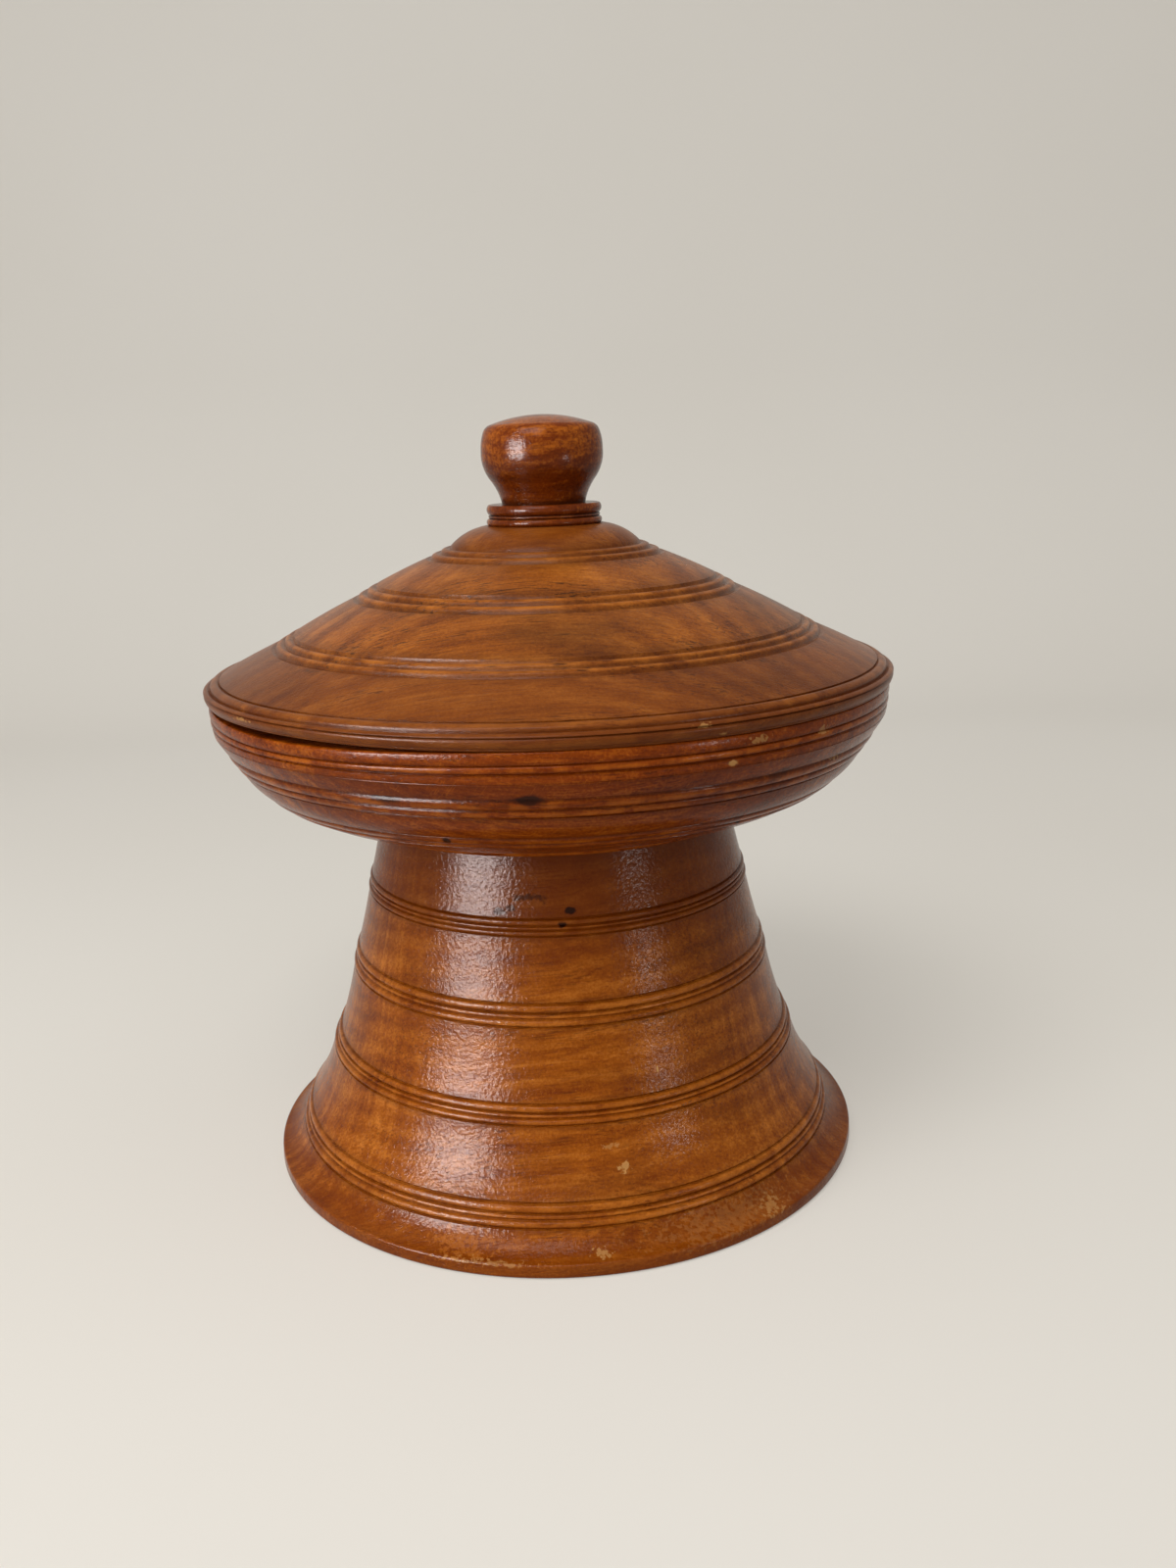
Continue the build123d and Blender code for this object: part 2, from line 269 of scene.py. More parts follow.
@dataclass(frozen=True)
class Stroke:
    """One stretch of a turned band: its cut, width and rise, or depth if negative, and how strongly a groove
    is darkened with dirt and painted shade, or a bead lightened with wear and a painted highlight.
    """

    cut: Cut
    width: float
    rise: float
    soil: float = 1.0


class Outline:
    """Half the section of a turned piece, drawn anticlockwise, so its right-hand side is outside."""

    def __init__(self, radius: float, height: float) -> None:
        """Start at a point, in millimetres."""
        self.points = [(radius, height)]
        self.grooves: list[tuple[float, float, float, float]] = []
        self.crests: list[tuple[float, float, float, float]] = []

    def line(self, radius: float, height: float) -> "Outline":
        """Draw a straight edge to a point."""
        self.points.append((radius, height))
        return self

    def arc(self, radius: float, height: float, rise: float) -> "Outline":
        """Draw an arc.

        Args:
            radius: how far its end is from the axis.
            height: the height of its end.
            rise: how far its middle stands out of the wood, or in if negative.

        Returns:
            The outline itself.
        """
        (r, h), run, climb = self.points[-1], radius - self.points[-1][0], height - self.points[-1][1]
        chord = math.hypot(run, climb)
        if abs(rise) < LEAST_RISE:
            return self._offsets(radius, height, np.zeros(max(2, round(chord / ARC_STEP)) - 1))
        size = (chord ** 2 / 4 + rise ** 2) / (2 * abs(rise))
        turn = 4 * math.atan(2 * abs(rise) / chord)
        steps = max(3, round(size * turn / ARC_STEP), round(math.degrees(turn) / ARC_DEGREES))
        side = math.copysign(1, rise)
        centre = size - abs(rise)
        for index in range(1, steps + 1):
            angle = -turn / 2 + turn * index / steps
            share = 0.5 + size * math.sin(angle) / chord
            off = side * (size * math.cos(angle) - centre)
            self.points.append((r + run * share + off * climb / chord, h + climb * share - off * run / chord))
        return self

    def _offsets(self, radius: float, height: float, offs: np.ndarray) -> "Outline":
        """Draw to a point through evenly spaced points beside the straight way there.

        Args:
            radius: how far the end is from the axis.
            height: the height of the end.
            offs: how far each point between the ends stands off the straight way.

        Returns:
            The outline itself.
        """
        (r, h), run, climb = self.points[-1], radius - self.points[-1][0], height - self.points[-1][1]
        chord = math.hypot(run, climb)
        for index, off in enumerate([*offs, 0.0], start=1):
            share = index / (len(offs) + 1)
            self.points.append((r + run * share + off * climb / chord, h + climb * share - off * run / chord))
        return self

    def dome(self, height: float) -> "Outline":
        """Draw an arc to the axis that is level where it meets it."""
        r, h = self.points[-1]
        return self.arc(0, height, math.hypot(r, height - h) / 2 * math.tan(math.atan2(height - h, r) / 2))

    def stroke(self, radius: float, height: float, stroke: Stroke) -> "Outline":
        """Draw one stretch of a band, and note it as a groove or a crest.

        Args:
            radius: how far its end is from the axis.
            height: the height of its end.
            stroke: what is cut there.

        Returns:
            The outline itself.
        """
        start = self.points[-1]
        along = np.arange(1, STROKE_STEPS) / STROKE_STEPS
        self._offsets(radius, height, stroke.rise * stroke.cut.shape(along))
        middle = ((start[0] + radius) / 2, (start[1] + height) / 2)
        reach = math.dist(start, (radius, height)) / 2
        kept = self.grooves if stroke.rise < 0 else self.crests
        kept.append((*middle, reach, stroke.soil))
        return self

    def add_dirt_and_shade(self, radius: float, height: float, half: float, strength: float) -> "Outline":
        """Note a darkened place: its middle, half its width and how dark it is. Some are dirt, and some are
        painted shade.
        """
        self.grooves.append((radius, height, half, strength))
        return self

    def band(self, radius: float, height: float, strokes: tuple[Stroke, ...]) -> "Outline":
        """Draw a turned band.

        Args:
            radius: how far its end is from the axis.
            height: the height of its end.
            strokes: its cuts in order, which share its length by their widths.

        Returns:
            The outline itself.
        """
        start = self.points[-1]
        total = sum(stroke.width for stroke in strokes)
        done = 0.0
        for stroke in strokes:
            done += stroke.width / total
            self.stroke(start[0] + (radius - start[0]) * done, start[1] + (height - start[1]) * done, stroke)
        return self

    def soil(self) -> np.ndarray:
        """Return how dark each point is painted, from 0 to 1: dirt and old varnish in the grooves, together
        with painted shade in the grooves and under overhangs.
        """
        return self._near(self.grooves, DIRT_AND_SHADE_REACH)

    def rub_and_highlight(self) -> np.ndarray:
        """Return how far each bead's crest is lightened, from 0 to 1, by the wear of hands and cloths and by
        a painted highlight.
        """
        return self._near(self.crests, 0.0)

    def _near(self, spots: list[tuple[float, float, float, float]], reach: float) -> np.ndarray:
        """Measure how near the outline's points are to the middles of some spots.

        Args:
            spots: the radius, height, half width and strength of each spot.
            reach: how much further each spot reaches, in millimetres.

        Returns:
            A level for each point, from 0 to 1.
        """
        points = np.array(self.points)
        level = np.zeros(len(points))
        for radius, height, half, strength in spots:
            away = np.hypot(points[:, 0] - radius, points[:, 1] - height)
            level = np.maximum(level, strength * np.exp(-((away / (half * SPOT_SPREAD + reach)) ** 2)))
        return level

    def mesh(self, name: str) -> bpy.types.Mesh:
        """Make the outline a string of vertices.

        Args:
            name: the mesh's name.

        Returns:
            The mesh, in metres, with the levels of dirt with painted shade and of wear with painted
            highlights as attributes.
        """
        mesh = bpy.data.meshes.new(name)
        places = [(radius * MM, 0.0, height * MM) for radius, height in self.points]
        mesh.from_pydata(places, [(i, i + 1) for i in range(len(places) - 1)], [])
        for title, values in (("soil", self.soil()), ("rub_and_highlight", self.rub_and_highlight())):
            mesh.attributes.new(title, "FLOAT", "POINT").data.foreach_set("value", values.astype(np.float32))
        return mesh


@dataclass(frozen=True)
class Sag:
    """How far a stretch of an edge has risen or sunk, where, how wide, and over which heights it fades."""

    depth: float = 0.0
    azimuth: float = 0.0
    half_angle: float = 40.0
    still: float = 0.0
    full: float = 1.0


def named_inputs(name: str, inputs: tuple) -> tuple[bpy.types.NodeTree, dict[str, str]]:
    """Start a Geometry Nodes tree.

    Args:
        name: the tree's name.
        inputs: the name, socket type and first value, or None, of each input after the geometry.

    Returns:
        The tree, and each input's identifier by its name.
    """
    tree = bpy.data.node_groups.new(name, "GeometryNodeTree")
    tree.interface.new_socket(name="Geometry", in_out="INPUT", socket_type="NodeSocketGeometry")
    sockets = {}
    for title, kind, value in inputs:
        socket = tree.interface.new_socket(name=title, in_out="INPUT", socket_type=kind)
        sockets[title] = socket.identifier
        if value is not None:
            socket.default_value = value
    tree.interface.new_socket(name="Geometry", in_out="OUTPUT", socket_type="NodeSocketGeometry")
    return tree, sockets


def finish_tree(graph: Graph, geometry: Wire, material: Wire) -> None:
    """End a Geometry Nodes tree: make its copies real and dress them.

    Args:
        graph: the tree.
        geometry: what it has made.
        material: the finish to put on it.
    """
    real = graph.add("GeometryNodeRealizeInstances", {}, {"Geometry": geometry})
    dressed = graph.add("GeometryNodeSetMaterial", {}, {"Geometry": real, "Material": material})
    graph.add("NodeGroupOutput", {}, {"Geometry": dressed})


class LatheTree:
    """The Geometry Nodes that sweep an outline round the Z axis, a little out of round as old wood is."""

    WAVER = 0.0012
    INPUTS = (
        ("Steps", "NodeSocketInt", 256),
        ("Waver", "NodeSocketFloat", WAVER),
        ("Waver Size", "NodeSocketFloat", 9.0),
        ("Seed", "NodeSocketFloat", 0.0),
        ("Sag Depth", "NodeSocketFloat", 0.0),
        ("Sag Azimuth", "NodeSocketFloat", 0.0),
        ("Sag Half Angle", "NodeSocketFloat", 1.0),
        ("Sag Still Height", "NodeSocketFloat", 0.0),
        ("Sag Full Height", "NodeSocketFloat", 1.0),
        ("Material", "NodeSocketMaterial", None),
    )
    MERGE = 0.000004
    # Keeps a column's number from rounding down where a row ends
    GUARD = 0.0001
    # How fast the waver changes round the axis and up it
    WAVER_ROUND = 0.1
    WAVER_UP = 1.6

    def __init__(self) -> None:
        """Draw the tree once; every turned piece shares it."""
        self.tree, self.sockets = named_inputs("turned_on_the_lathe", self.INPUTS)
        self._draw(Graph(self.tree))

    def _draw(self, graph: Graph) -> None:
        """Place the nodes: a grid with a row for each point of the outline and a column for each step round.

        Args:
            graph: the empty tree.
        """
        given = graph.add("NodeGroupInput", output="Geometry")
        size = graph.add(
            "GeometryNodeAttributeDomainSize", {"component": "MESH"}, {"Geometry": given}, "Point Count"
        )
        columns = given.out("Steps") + 1
        sheet = graph.add("GeometryNodeMeshGrid", {}, {"Vertices X": columns, "Vertices Y": size}, "Mesh")
        index = graph.add("GeometryNodeInputIndex")
        column = (index / size).maths("FLOOR", index / size + self.GUARD)
        row = index - column * size
        angle = column / given.out("Steps") * math.tau
        place = self._sample(graph, given, graph.add("GeometryNodeInputPosition"), row, "FLOAT_VECTOR")
        radius, _, height = graph.parts(place)
        across, back = angle.maths("SINE", angle), angle.maths("COSINE", angle)
        wide, climb = self.WAVER_ROUND, self.WAVER_UP
        spot = graph.vector(across * wide, back * wide, height * climb)
        waver = graph.add(
            "ShaderNodeTexNoise",
            {"noise_dimensions": "4D"},
            {"Vector": spot, "W": given.out("Seed"), "Scale": given.out("Waver Size"), "Detail": 1.5},
            "Fac",
        )
        worn = radius * (1 - waver.fade(0.2, 0.8) * given.out("Waver"))
        off = angle / math.tau - given.out("Sag Azimuth")
        near = 1 - off.maths("ABSOLUTE", off).fade(0.0, given.out("Sag Half Angle"))
        hold = height.fade(given.out("Sag Still Height"), given.out("Sag Full Height"))
        wear_and_highlight = height + near * hold * given.out("Sag Depth")
        where = graph.vector(across * worn, -1 * (back * worn), wear_and_highlight)
        shaped = graph.add("GeometryNodeSetPosition", {}, {"Geometry": sheet, "Position": where})
        for title in ("soil", "rub_and_highlight"):
            named = graph.add(
                "GeometryNodeInputNamedAttribute", {"data_type": "FLOAT"}, {"Name": title}, "Attribute"
            )
            level = self._sample(graph, given, named, row, "FLOAT")
            shaped = graph.add(
                "GeometryNodeStoreNamedAttribute",
                {"data_type": "FLOAT", "domain": "POINT"},
                {"Geometry": shaped, "Name": title, "Value": level},
            )
        closed = graph.add("GeometryNodeMergeByDistance", {}, {"Geometry": shaped, "Distance": self.MERGE})
        smooth = graph.add("GeometryNodeSetShadeSmooth", {}, {"Geometry": closed, "Shade Smooth": True})
        finish_tree(graph, smooth, given.out("Material"))

    @staticmethod
    def _sample(graph: Graph, given: Wire, value: Wire, row: Wire, kind: str) -> Wire:
        """Read a value of the outline at a row.

        Args:
            graph: the tree.
            given: the outline.
            value: what to read from it.
            row: which of its points to read.
            kind: the value's data type.

        Returns:
            The value there.
        """
        return graph.add(
            "GeometryNodeSampleIndex",
            {"data_type": kind, "domain": "POINT"},
            {"Geometry": given, "Value": value, "Index": row},
        )

    def turn(self, name: str, outline: Outline, material: bpy.types.Material, steps: int, seed: float,
             waver: float = WAVER, sag: Sag = Sag()) -> bpy.types.Object:
        """Turn an outline into a closed mesh.

        Args:
            name: the new object's name.
            outline: its outline, in millimetres.
            material: its finish.
            steps: how many faces go round.
            seed: picks how the piece is out of round.
            waver: how far out of round it is, as a share of its radius.
            sag: a stretch of its edge that has moved.

        Returns:
            The object, at the origin, with no modifier.
        """
        blank = bpy.data.objects.new(name + "_blank", outline.mesh(name + "_blank"))
        bpy.context.scene.collection.objects.link(blank)
        modifier = blank.modifiers.new("lathe", "NODES")
        modifier.node_group = self.tree
        settings = {
            "Steps": steps,
            "Waver": waver,
            "Seed": seed,
            "Sag Depth": sag.depth * MM,
            "Sag Azimuth": sag.azimuth / 360 % 1,
            "Sag Half Angle": sag.half_angle / 360,
            "Sag Still Height": sag.still * MM,
            "Sag Full Height": sag.full * MM,
            "Material": material,
        }
        for title, value in settings.items():
            modifier[self.sockets[title]] = value
        mesh = settle(blank, name)
        return place(name, mesh, material)


def settle(maker: bpy.types.Object, name: str) -> bpy.types.Mesh:
    """Make what an object's modifiers show a plain mesh, and remove the object.

    Args:
        maker: the object, with its modifiers.
        name: the new mesh's name.

    Returns:
        The mesh.
    """
    evaluated = maker.evaluated_get(bpy.context.evaluated_depsgraph_get())
    mesh = bpy.data.meshes.new_from_object(evaluated)
    mesh.name = name
    bpy.data.objects.remove(maker)
    return mesh


SHARP = math.radians(32)


def place(name: str, mesh: bpy.types.Mesh, material: bpy.types.Material) -> bpy.types.Object:
    """Turn a closed mesh's faces outwards, set its sharp edges and put it in the scene.

    Args:
        name: the new object's name.
        mesh: the closed mesh.
        material: its finish, if it has none yet.

    Returns:
        The object, at the origin.
    """
    form = bmesh.new()
    form.from_mesh(mesh)
    bmesh.ops.recalc_face_normals(form, faces=form.faces)
    form.to_mesh(mesh)
    form.free()
    mesh.set_sharp_from_angle(angle=SHARP)
    if not mesh.materials:
        mesh.materials.append(material)
    piece = bpy.data.objects.new(name, mesh)
    bpy.context.scene.collection.objects.link(piece)
    return piece


class MarkKind(Enum):
    """What a mark on the wood is."""

    STAIN = "stain or dark knot"
    WORN = "worn to paler wood"
    # A darkened mark is darker varnish on the lid and at the foot's edge, and painted shade on the top of the
    # foot, under the bowl.
    DARKENED = "darkened varnish"
    CHIPPED = "chipped to bare wood"


@dataclass(frozen=True)
class Mark:
    """A mark on a turned face: where it is, how wide and tall in millimetres, how strong and how ragged."""

    kind: MarkKind
    azimuth: float
    height: float
    radius: float
    width: float
    tall: float
    strength: float = 1.0
    ragged: float = 3.2

    @property
    def bared(self) -> bool:
        """Tell whether the varnish is gone there, which leaves a flaked edge and a rougher face."""
        return self.kind in (MarkKind.CHIPPED, MarkKind.WORN)


SOIL_BROWN = srgb(46, 18, 5)
BARE_WOOD = srgb(196, 146, 84)


@dataclass(frozen=True)
class Pattern:
    """A noise: its cells in a metre, its detail, and the levels that it fades between, if it does.

    Three numbers of cells are those along x, which is the grain's way in the block of wood, y and z.
    """

    cells: float | tuple[float, float, float]
    detail: float = 2.0
    levels: tuple[float, float] | None = None

    def draw(self, graph: Graph, place: Wire) -> Wire:
        """Add the noise to a material.

        Args:
            graph: the material's tree.
            place: the place on the piece or in the block of wood.

        Returns:
            The noise's level there, from 0 to 1.
        """
        if isinstance(self.cells, tuple):
            level = graph.noise(graph.stretch(place, self.cells), 1.0, self.detail)
        else:
            level = graph.noise(place, self.cells, self.detail)
        return level.fade(*self.levels) if self.levels else level


# What shows in the wood itself
PORES = Pattern((90.0, 1100.0, 1100.0), levels=(0.56, 0.66))
STREAKS = Pattern((26.0, 520.0, 520.0), 3.0)
BROAD_STREAKS = Pattern((8.0, 34.0, 34.0), 3.0)
MOTTLE = Pattern(90.0, 5.0)
SPECKLE = Pattern(800.0)
END_LINES = Pattern(240.0)
END_PATCHES = Pattern(15.0, 1.0, (0.3, 0.55))
DASHES = Pattern((36.0, 1000.0, 1000.0), levels=(0.56, 0.64))
DASH_FLOCKS = Pattern((14.0, 40.0, 40.0), levels=(0.48, 0.58))

# What age and use have left on it
SCRATCHES = Pattern((24.0, 1500.0, 1500.0), 1.0, (0.66, 0.72))
CLOUDS = Pattern((12.0, 12.0, 44.0), 3.0, (0.45, 0.75))
# The next two vary the dirt with painted shade in the grooves and the wear with painted highlights on the
# beads
DIRT_AND_SHADE_PATCHES = Pattern(160.0, 4.0)
RUB_AND_HIGHLIGHT_PATCHES = Pattern(90.0, 4.0, (0.38, 0.62))
RAGGED_EDGE = Pattern(160.0, 5.0)
FLAKED_EDGE = Pattern(430.0, 4.0)

# The varnish: its pitted skin, the turner's waves below it and its uneven shine
SKIN = Pattern(560.0)
WAVES = Pattern(60.0)
SHINE = Pattern(26.0, 3.0)

# How much each pattern of the wood counts in its tone, and the places of the deep, middle and pale colours
STREAK_SHARE = 0.6
MOTTLE_SHARE = 0.3
SPECKLE_SHARE = 0.5
TONES = (0.12, 0.5, 0.88)

# How strongly pores, dirt with painted shade and rubbing with painted highlights colour the wood, and what
# shine and lost varnish add to its roughness
PORE_SHADE = 0.4
DIRT_AND_SHADE_SHARE = 0.65
RUB_AND_HIGHLIGHT_SHARE = 0.7
SHINE_SPREAD = 0.12
BARE_ROUGHNESS = 0.15

# The levels between which a mark fades out, where 1 is its rim
MARK_RIM = (0.5, 1.1)

# How far the grain bends in metres and over which cells, how the scratches slant in radians, the ring
# texture's own scale, and the end grain's radius in metres and the shares of a side between which it comes up
BEND_GRAIN = (3.0, 9.0, 9.0)
GRAIN_BEND = (0.0, 0.030, 0.030)
SCRATCH_SLANT = (0.5, 0.7, 0.9)
RING_SCALE = 0.314
END_RADIUS = 0.12
END_SIDE = (0.45, 0.8)

# The relief of the varnish in metres: its fine pitted skin, the turner's waves and the open pores
SKIN_DEPTH = 0.00022
WAVE_DEPTH = 0.00025
PORE_DEPTH = 0.00005


@dataclass(frozen=True)
class WoodFinish:
    """Old varnished wood whose grain runs from left to right, with end grain at its two sides.

    The pith's place is how far back and how high the middle of the tree's rings is, and the ring is the width
    of one, both in millimetres. The tilt turns the grain, in degrees. The other numbers are strengths.
    """

    name: str
    pale: Colour
    middle: Colour
    deep: Colour
    pith: tuple[float, float]
    ring: float
    seed: float
    soil: Colour = SOIL_BROWN
    bare: Colour = BARE_WOOD
    tilt: float = 0.0
    roughness: float = 0.3
    ring_strength: float = 0.16
    figure: float = 0.9
    dashes: float = 0.75
    scratches: float = 0.3
    dirt_and_shade_strength: float = 0.9
    cloud: float = 0.3
    peel: float = 1.0
    gloss: float = 0.1
    marks: tuple[Mark, ...] = ()

    def material(self) -> bpy.types.Material:
        """Build the finish.

        Returns:
            A new material, which reads the piece's Object coordinates and its levels of dirt with painted
            shade and of wear with painted highlights.
        """
        material = bpy.data.materials.new(self.name)
        material.use_nodes = True
        material.node_tree.nodes.clear()
        graph = Graph(material.node_tree)
        where = graph.add("ShaderNodeTexCoord", output="Object")
        block = graph.add(
            "ShaderNodeMapping",
            {},
            {
                "Vector": where,
                "Location": (self.seed, -self.pith[0] * MM, -self.pith[1] * MM),
                "Rotation": (0.0, math.radians(self.tilt), math.radians(self.tilt * 0.6)),
            },
        )
        pores = PORES.draw(graph, block)
        colour = self._wood(graph, where, block)
        colour = graph.blend(pores * PORE_SHADE, colour, self.deep)
        colour = self._dashes_and_scratches(graph, where, block, colour)
        colour = self._dirt_shade_and_highlights(graph, where, colour)
        colour, worn = self._marks(graph, where, colour)
        relief = self._relief(graph, where, pores)
        bump = graph.add("ShaderNodeBump", {}, {"Strength": 1.0, "Distance": 1.0, "Height": relief}, "Normal")
        rough = self.roughness + (SHINE.draw(graph, where) - 0.5) * SHINE_SPREAD + worn * BARE_ROUGHNESS
        surface = graph.add(
            "ShaderNodeBsdfPrincipled",
            {},
            {"Base Color": colour, "Roughness": rough, "Normal": bump, "Specular IOR Level": self.gloss},
            "BSDF",
        )
        graph.add("ShaderNodeOutputMaterial", {}, {"Surface": surface})
        return material

    def _wood(self, graph: Graph, where: Wire, block: Wire) -> Wire:
        """Colour the bare wood with faint rings, streaks, mottle, and end grain at the sides.

        Args:
            graph: the material's tree.
            where: the place on the piece.
            block: the same place in the block of wood, measured from its pith and turned with its grain.

        Returns:
            The wood's colour.
        """
        bend = graph.noise(graph.stretch(block, BEND_GRAIN), output="Color")
        bent = graph.move(block, graph.stretch(bend, GRAIN_BEND))
        rings = graph.add(
            "ShaderNodeTexWave",
            {"wave_type": "RINGS", "rings_direction": "X", "wave_profile": "SIN"},
            {"Vector": bent, "Scale": RING_SCALE / (self.ring * MM), "Distortion": 2.5, "Detail": 2.0},
            "Fac",
        )
        tone = 0.5 + (rings - 0.5) * self.ring_strength
        for pattern, place, share in (
            (STREAKS, bent, STREAK_SHARE),
            (BROAD_STREAKS, bent, STREAK_SHARE),
            (MOTTLE, where, MOTTLE_SHARE),
            (SPECKLE, where, SPECKLE_SHARE),
        ):
            tone = tone + (pattern.draw(graph, place) - 0.5) * share
        tone = tone + self._end_grain(graph, where) * self.figure
        stops = tuple(zip(TONES, (self.deep, self.middle, self.pale)))
        return graph.add("ShaderNodeValToRGB", {"stops": stops}, {"Fac": tone}, "Color")

    @staticmethod
    def _end_grain(graph: Graph, where: Wire) -> Wire:
        """Draw the rings that run up and down the two ends of the block.

        Args:
            graph: the material's tree.
            where: the place on the piece.

        Returns:
            How light the end grain is, above 0, or how dark, below it.
        """
        across, back, height = graph.parts(where)
        radius = (across * across + back * back) ** 0.5
        side = across / radius
        spot = graph.vector(side * END_RADIUS, back / radius * END_RADIUS, height * END_RADIUS)
        sideways = side.maths("ABSOLUTE", side).fade(*END_SIDE)
        return (END_LINES.draw(graph, spot) - 0.5) * sideways * END_PATCHES.draw(graph, where)

    def _dashes_and_scratches(self, graph: Graph, where: Wire, block: Wire, colour: Wire) -> Wire:
        """Lay short dark dashes along the grain, and thin pale scratches across it.

        Args:
            graph: the material's tree.
            where: the place on the piece.
            block: the same place in the block of wood.
            colour: the colour so far.

        Returns:
            The new colour.
        """
        dashes = DASHES.draw(graph, block) * DASH_FLOCKS.draw(graph, block)
        colour = graph.blend(dashes * self.dashes, colour, self.soil)
        slanted = graph.add("ShaderNodeMapping", {}, {"Vector": where, "Rotation": SCRATCH_SLANT})
        return graph.blend(SCRATCHES.draw(graph, slanted) * self.scratches, colour, self.pale)

    def _dirt_shade_and_highlights(self, graph: Graph, where: Wire, colour: Wire) -> Wire:
        """Darken the colour in soft clouds, and with dirt and painted shade in the turned lines, and lighten
        rubbed beads with wear and painted highlights.

        Args:
            graph: the material's tree.
            where: the place on the piece.
            colour: the colour so far.

        Returns:
            The new colour.
        """
        soil = graph.add("ShaderNodeAttribute", {"attribute_name": "soil"}, {}, "Fac")
        rub_and_highlight = graph.add("ShaderNodeAttribute", {"attribute_name": "rub_and_highlight"}, {}, "Fac")
        colour = graph.blend(CLOUDS.draw(graph, where) * self.cloud, colour, self.soil)
        # The grooves and spots are darkened for dirt together with painted shade.
        dirt_and_shade = soil * (DIRT_AND_SHADE_SHARE + DIRT_AND_SHADE_PATCHES.draw(graph, where) * DIRT_AND_SHADE_SHARE) * self.dirt_and_shade_strength
        colour = graph.blend(dirt_and_shade, colour, self.soil)
        # The beads' crests are lightened for wear together with a painted highlight.
        wear_and_highlight = rub_and_highlight * RUB_AND_HIGHLIGHT_PATCHES.draw(graph, where) * RUB_AND_HIGHLIGHT_SHARE
        return graph.blend(wear_and_highlight, colour, self.pale)

    def _relief(self, graph: Graph, where: Wire, pores: Wire) -> Wire:
        """Raise the varnish's pitted skin and the turner's waves, and sink the pores.

        Args:
            graph: the material's tree.
            where: the place on the piece.
            pores: how open the pores are there, from 0 to 1.

        Returns:
            The relief, in metres.
        """
        skin = SKIN.draw(graph, where) * SKIN_DEPTH
        waves = WAVES.draw(graph, where) * WAVE_DEPTH
        return (skin + waves) * self.peel - pores * PORE_DEPTH

    def _marks(self, graph: Graph, where: Wire, colour: Wire) -> tuple[Wire, Wire | float]:
        """Lay the piece's marks over its colour.

        Args:
            graph: the material's tree.
            where: the place on the piece.
            colour: the colour so far.

        Returns:
            The new colour, and how far the varnish is gone at each place, from 0 to 1.
        """
        shades = {
            MarkKind.STAIN: self.soil,
            MarkKind.WORN: self.pale,
            MarkKind.DARKENED: self.deep,
            MarkKind.CHIPPED: self.bare,
        }
        across, back, height = graph.parts(where)
        turn = across.maths("ARCTAN2", across, -1 * back)
        ragged = RAGGED_EDGE.draw(graph, where)
        flaked = FLAKED_EDGE.draw(graph, where)
        worn = 0.0
        for mark in self.marks:
            sideways = (turn - math.radians(mark.azimuth)) * (mark.radius / mark.width * 2)
            upward = (height / MM - mark.height) * (2 / mark.tall)
            edge = flaked if mark.bared else ragged
            away = (sideways * sideways + upward * upward) ** 0.5 + (edge - 0.5) * mark.ragged
            level = (1 - away.fade(*MARK_RIM)) * mark.strength
            colour = graph.blend(level, colour, shades[mark.kind])
            worn = level.most(worn) if mark.bared else worn
        return colour, worn


# Each mark below gives its azimuth, height, radius, width and tallness, then how strong and how ragged it is.
# A width of ALL_ROUND takes a mark round the whole piece.
ALL_ROUND = 3000.0
LID_WOOD = WoodFinish(
    "varnished_lid_wood",
    pale=srgb(180, 106, 38),
    middle=srgb(144, 77, 21),
    deep=srgb(98, 44, 10),
    soil=srgb(42, 22, 11),
    pith=(60.0, 120.0),
    ring=9.0,
    seed=0.31,
    tilt=4.0,
    ring_strength=0.22,
    figure=1.0,
    dashes=0.7,
    dirt_and_shade_strength=1.0,
    cloud=0.45,
    peel=0.5,
    marks=(
        Mark(MarkKind.DARKENED, 0.0, 253.5, 175.0, ALL_ROUND, 17.0, 0.65, 0.6),
        Mark(MarkKind.DARKENED, 0.0, 267.0, 168.0, ALL_ROUND, 24.0, 0.45, 1.2),
        Mark(MarkKind.DARKENED, 0.0, 330.0, 60.0, ALL_ROUND, 34.0, 0.45, 1.2),
        Mark(MarkKind.CHIPPED, 20.8, 257.6, 175.7, 7.0, 1.6, 0.5, 6.0),
        Mark(MarkKind.CHIPPED, 24.0, 253.0, 174.5, 5.0, 1.4, 0.5, 6.0),
        Mark(MarkKind.CHIPPED, -52.0, 256.5, 175.5, 12.0, 1.6, 0.5, 7.0),
    ),
)
BOWL_WOOD = WoodFinish(
    "varnished_bowl_wood",
    pale=srgb(184, 98, 22),
    middle=srgb(134, 57, 4),
    deep=srgb(90, 31, 1),
    pith=(40.0, 60.0),
    ring=8.0,
    seed=0.62,
    tilt=-3.0,
    roughness=0.2,
    ring_strength=0.1,
    dashes=0.5,
    dirt_and_shade_strength=1.0,
    cloud=0.2,
    peel=0.6,
    marks=(
        Mark(MarkKind.STAIN, -4.0, 229.6, 168.8, 17.0, 6.0, 0.95, 1.4),
        Mark(MarkKind.STAIN, -24.9, 228.2, 167.2, 17.0, 4.6, 0.85, 1.8),
        Mark(MarkKind.STAIN, 35.7, 229.3, 167.7, 14.0, 6.0, 0.45),
        Mark(MarkKind.STAIN, -18.3, 206.2, 149.0, 4.5, 3.5),
        Mark(MarkKind.STAIN, 34.1, 204.1, 146.3, 4.5, 2.5),
        Mark(MarkKind.CHIPPED, 25.6, 239.2, 173.1, 5.0, 3.0, 0.85, 1.5),
        Mark(MarkKind.CHIPPED, 30.0, 247.9, 173.7, 9.0, 2.4, 0.5, 6.0),
        Mark(MarkKind.CHIPPED, 43.0, 245.7, 173.6, 8.0, 3.6, 0.45, 5.0),
        Mark(MarkKind.CHIPPED, 50.0, 229.0, 167.5, 6.0, 3.0, 0.45, 5.0),
    ),
)
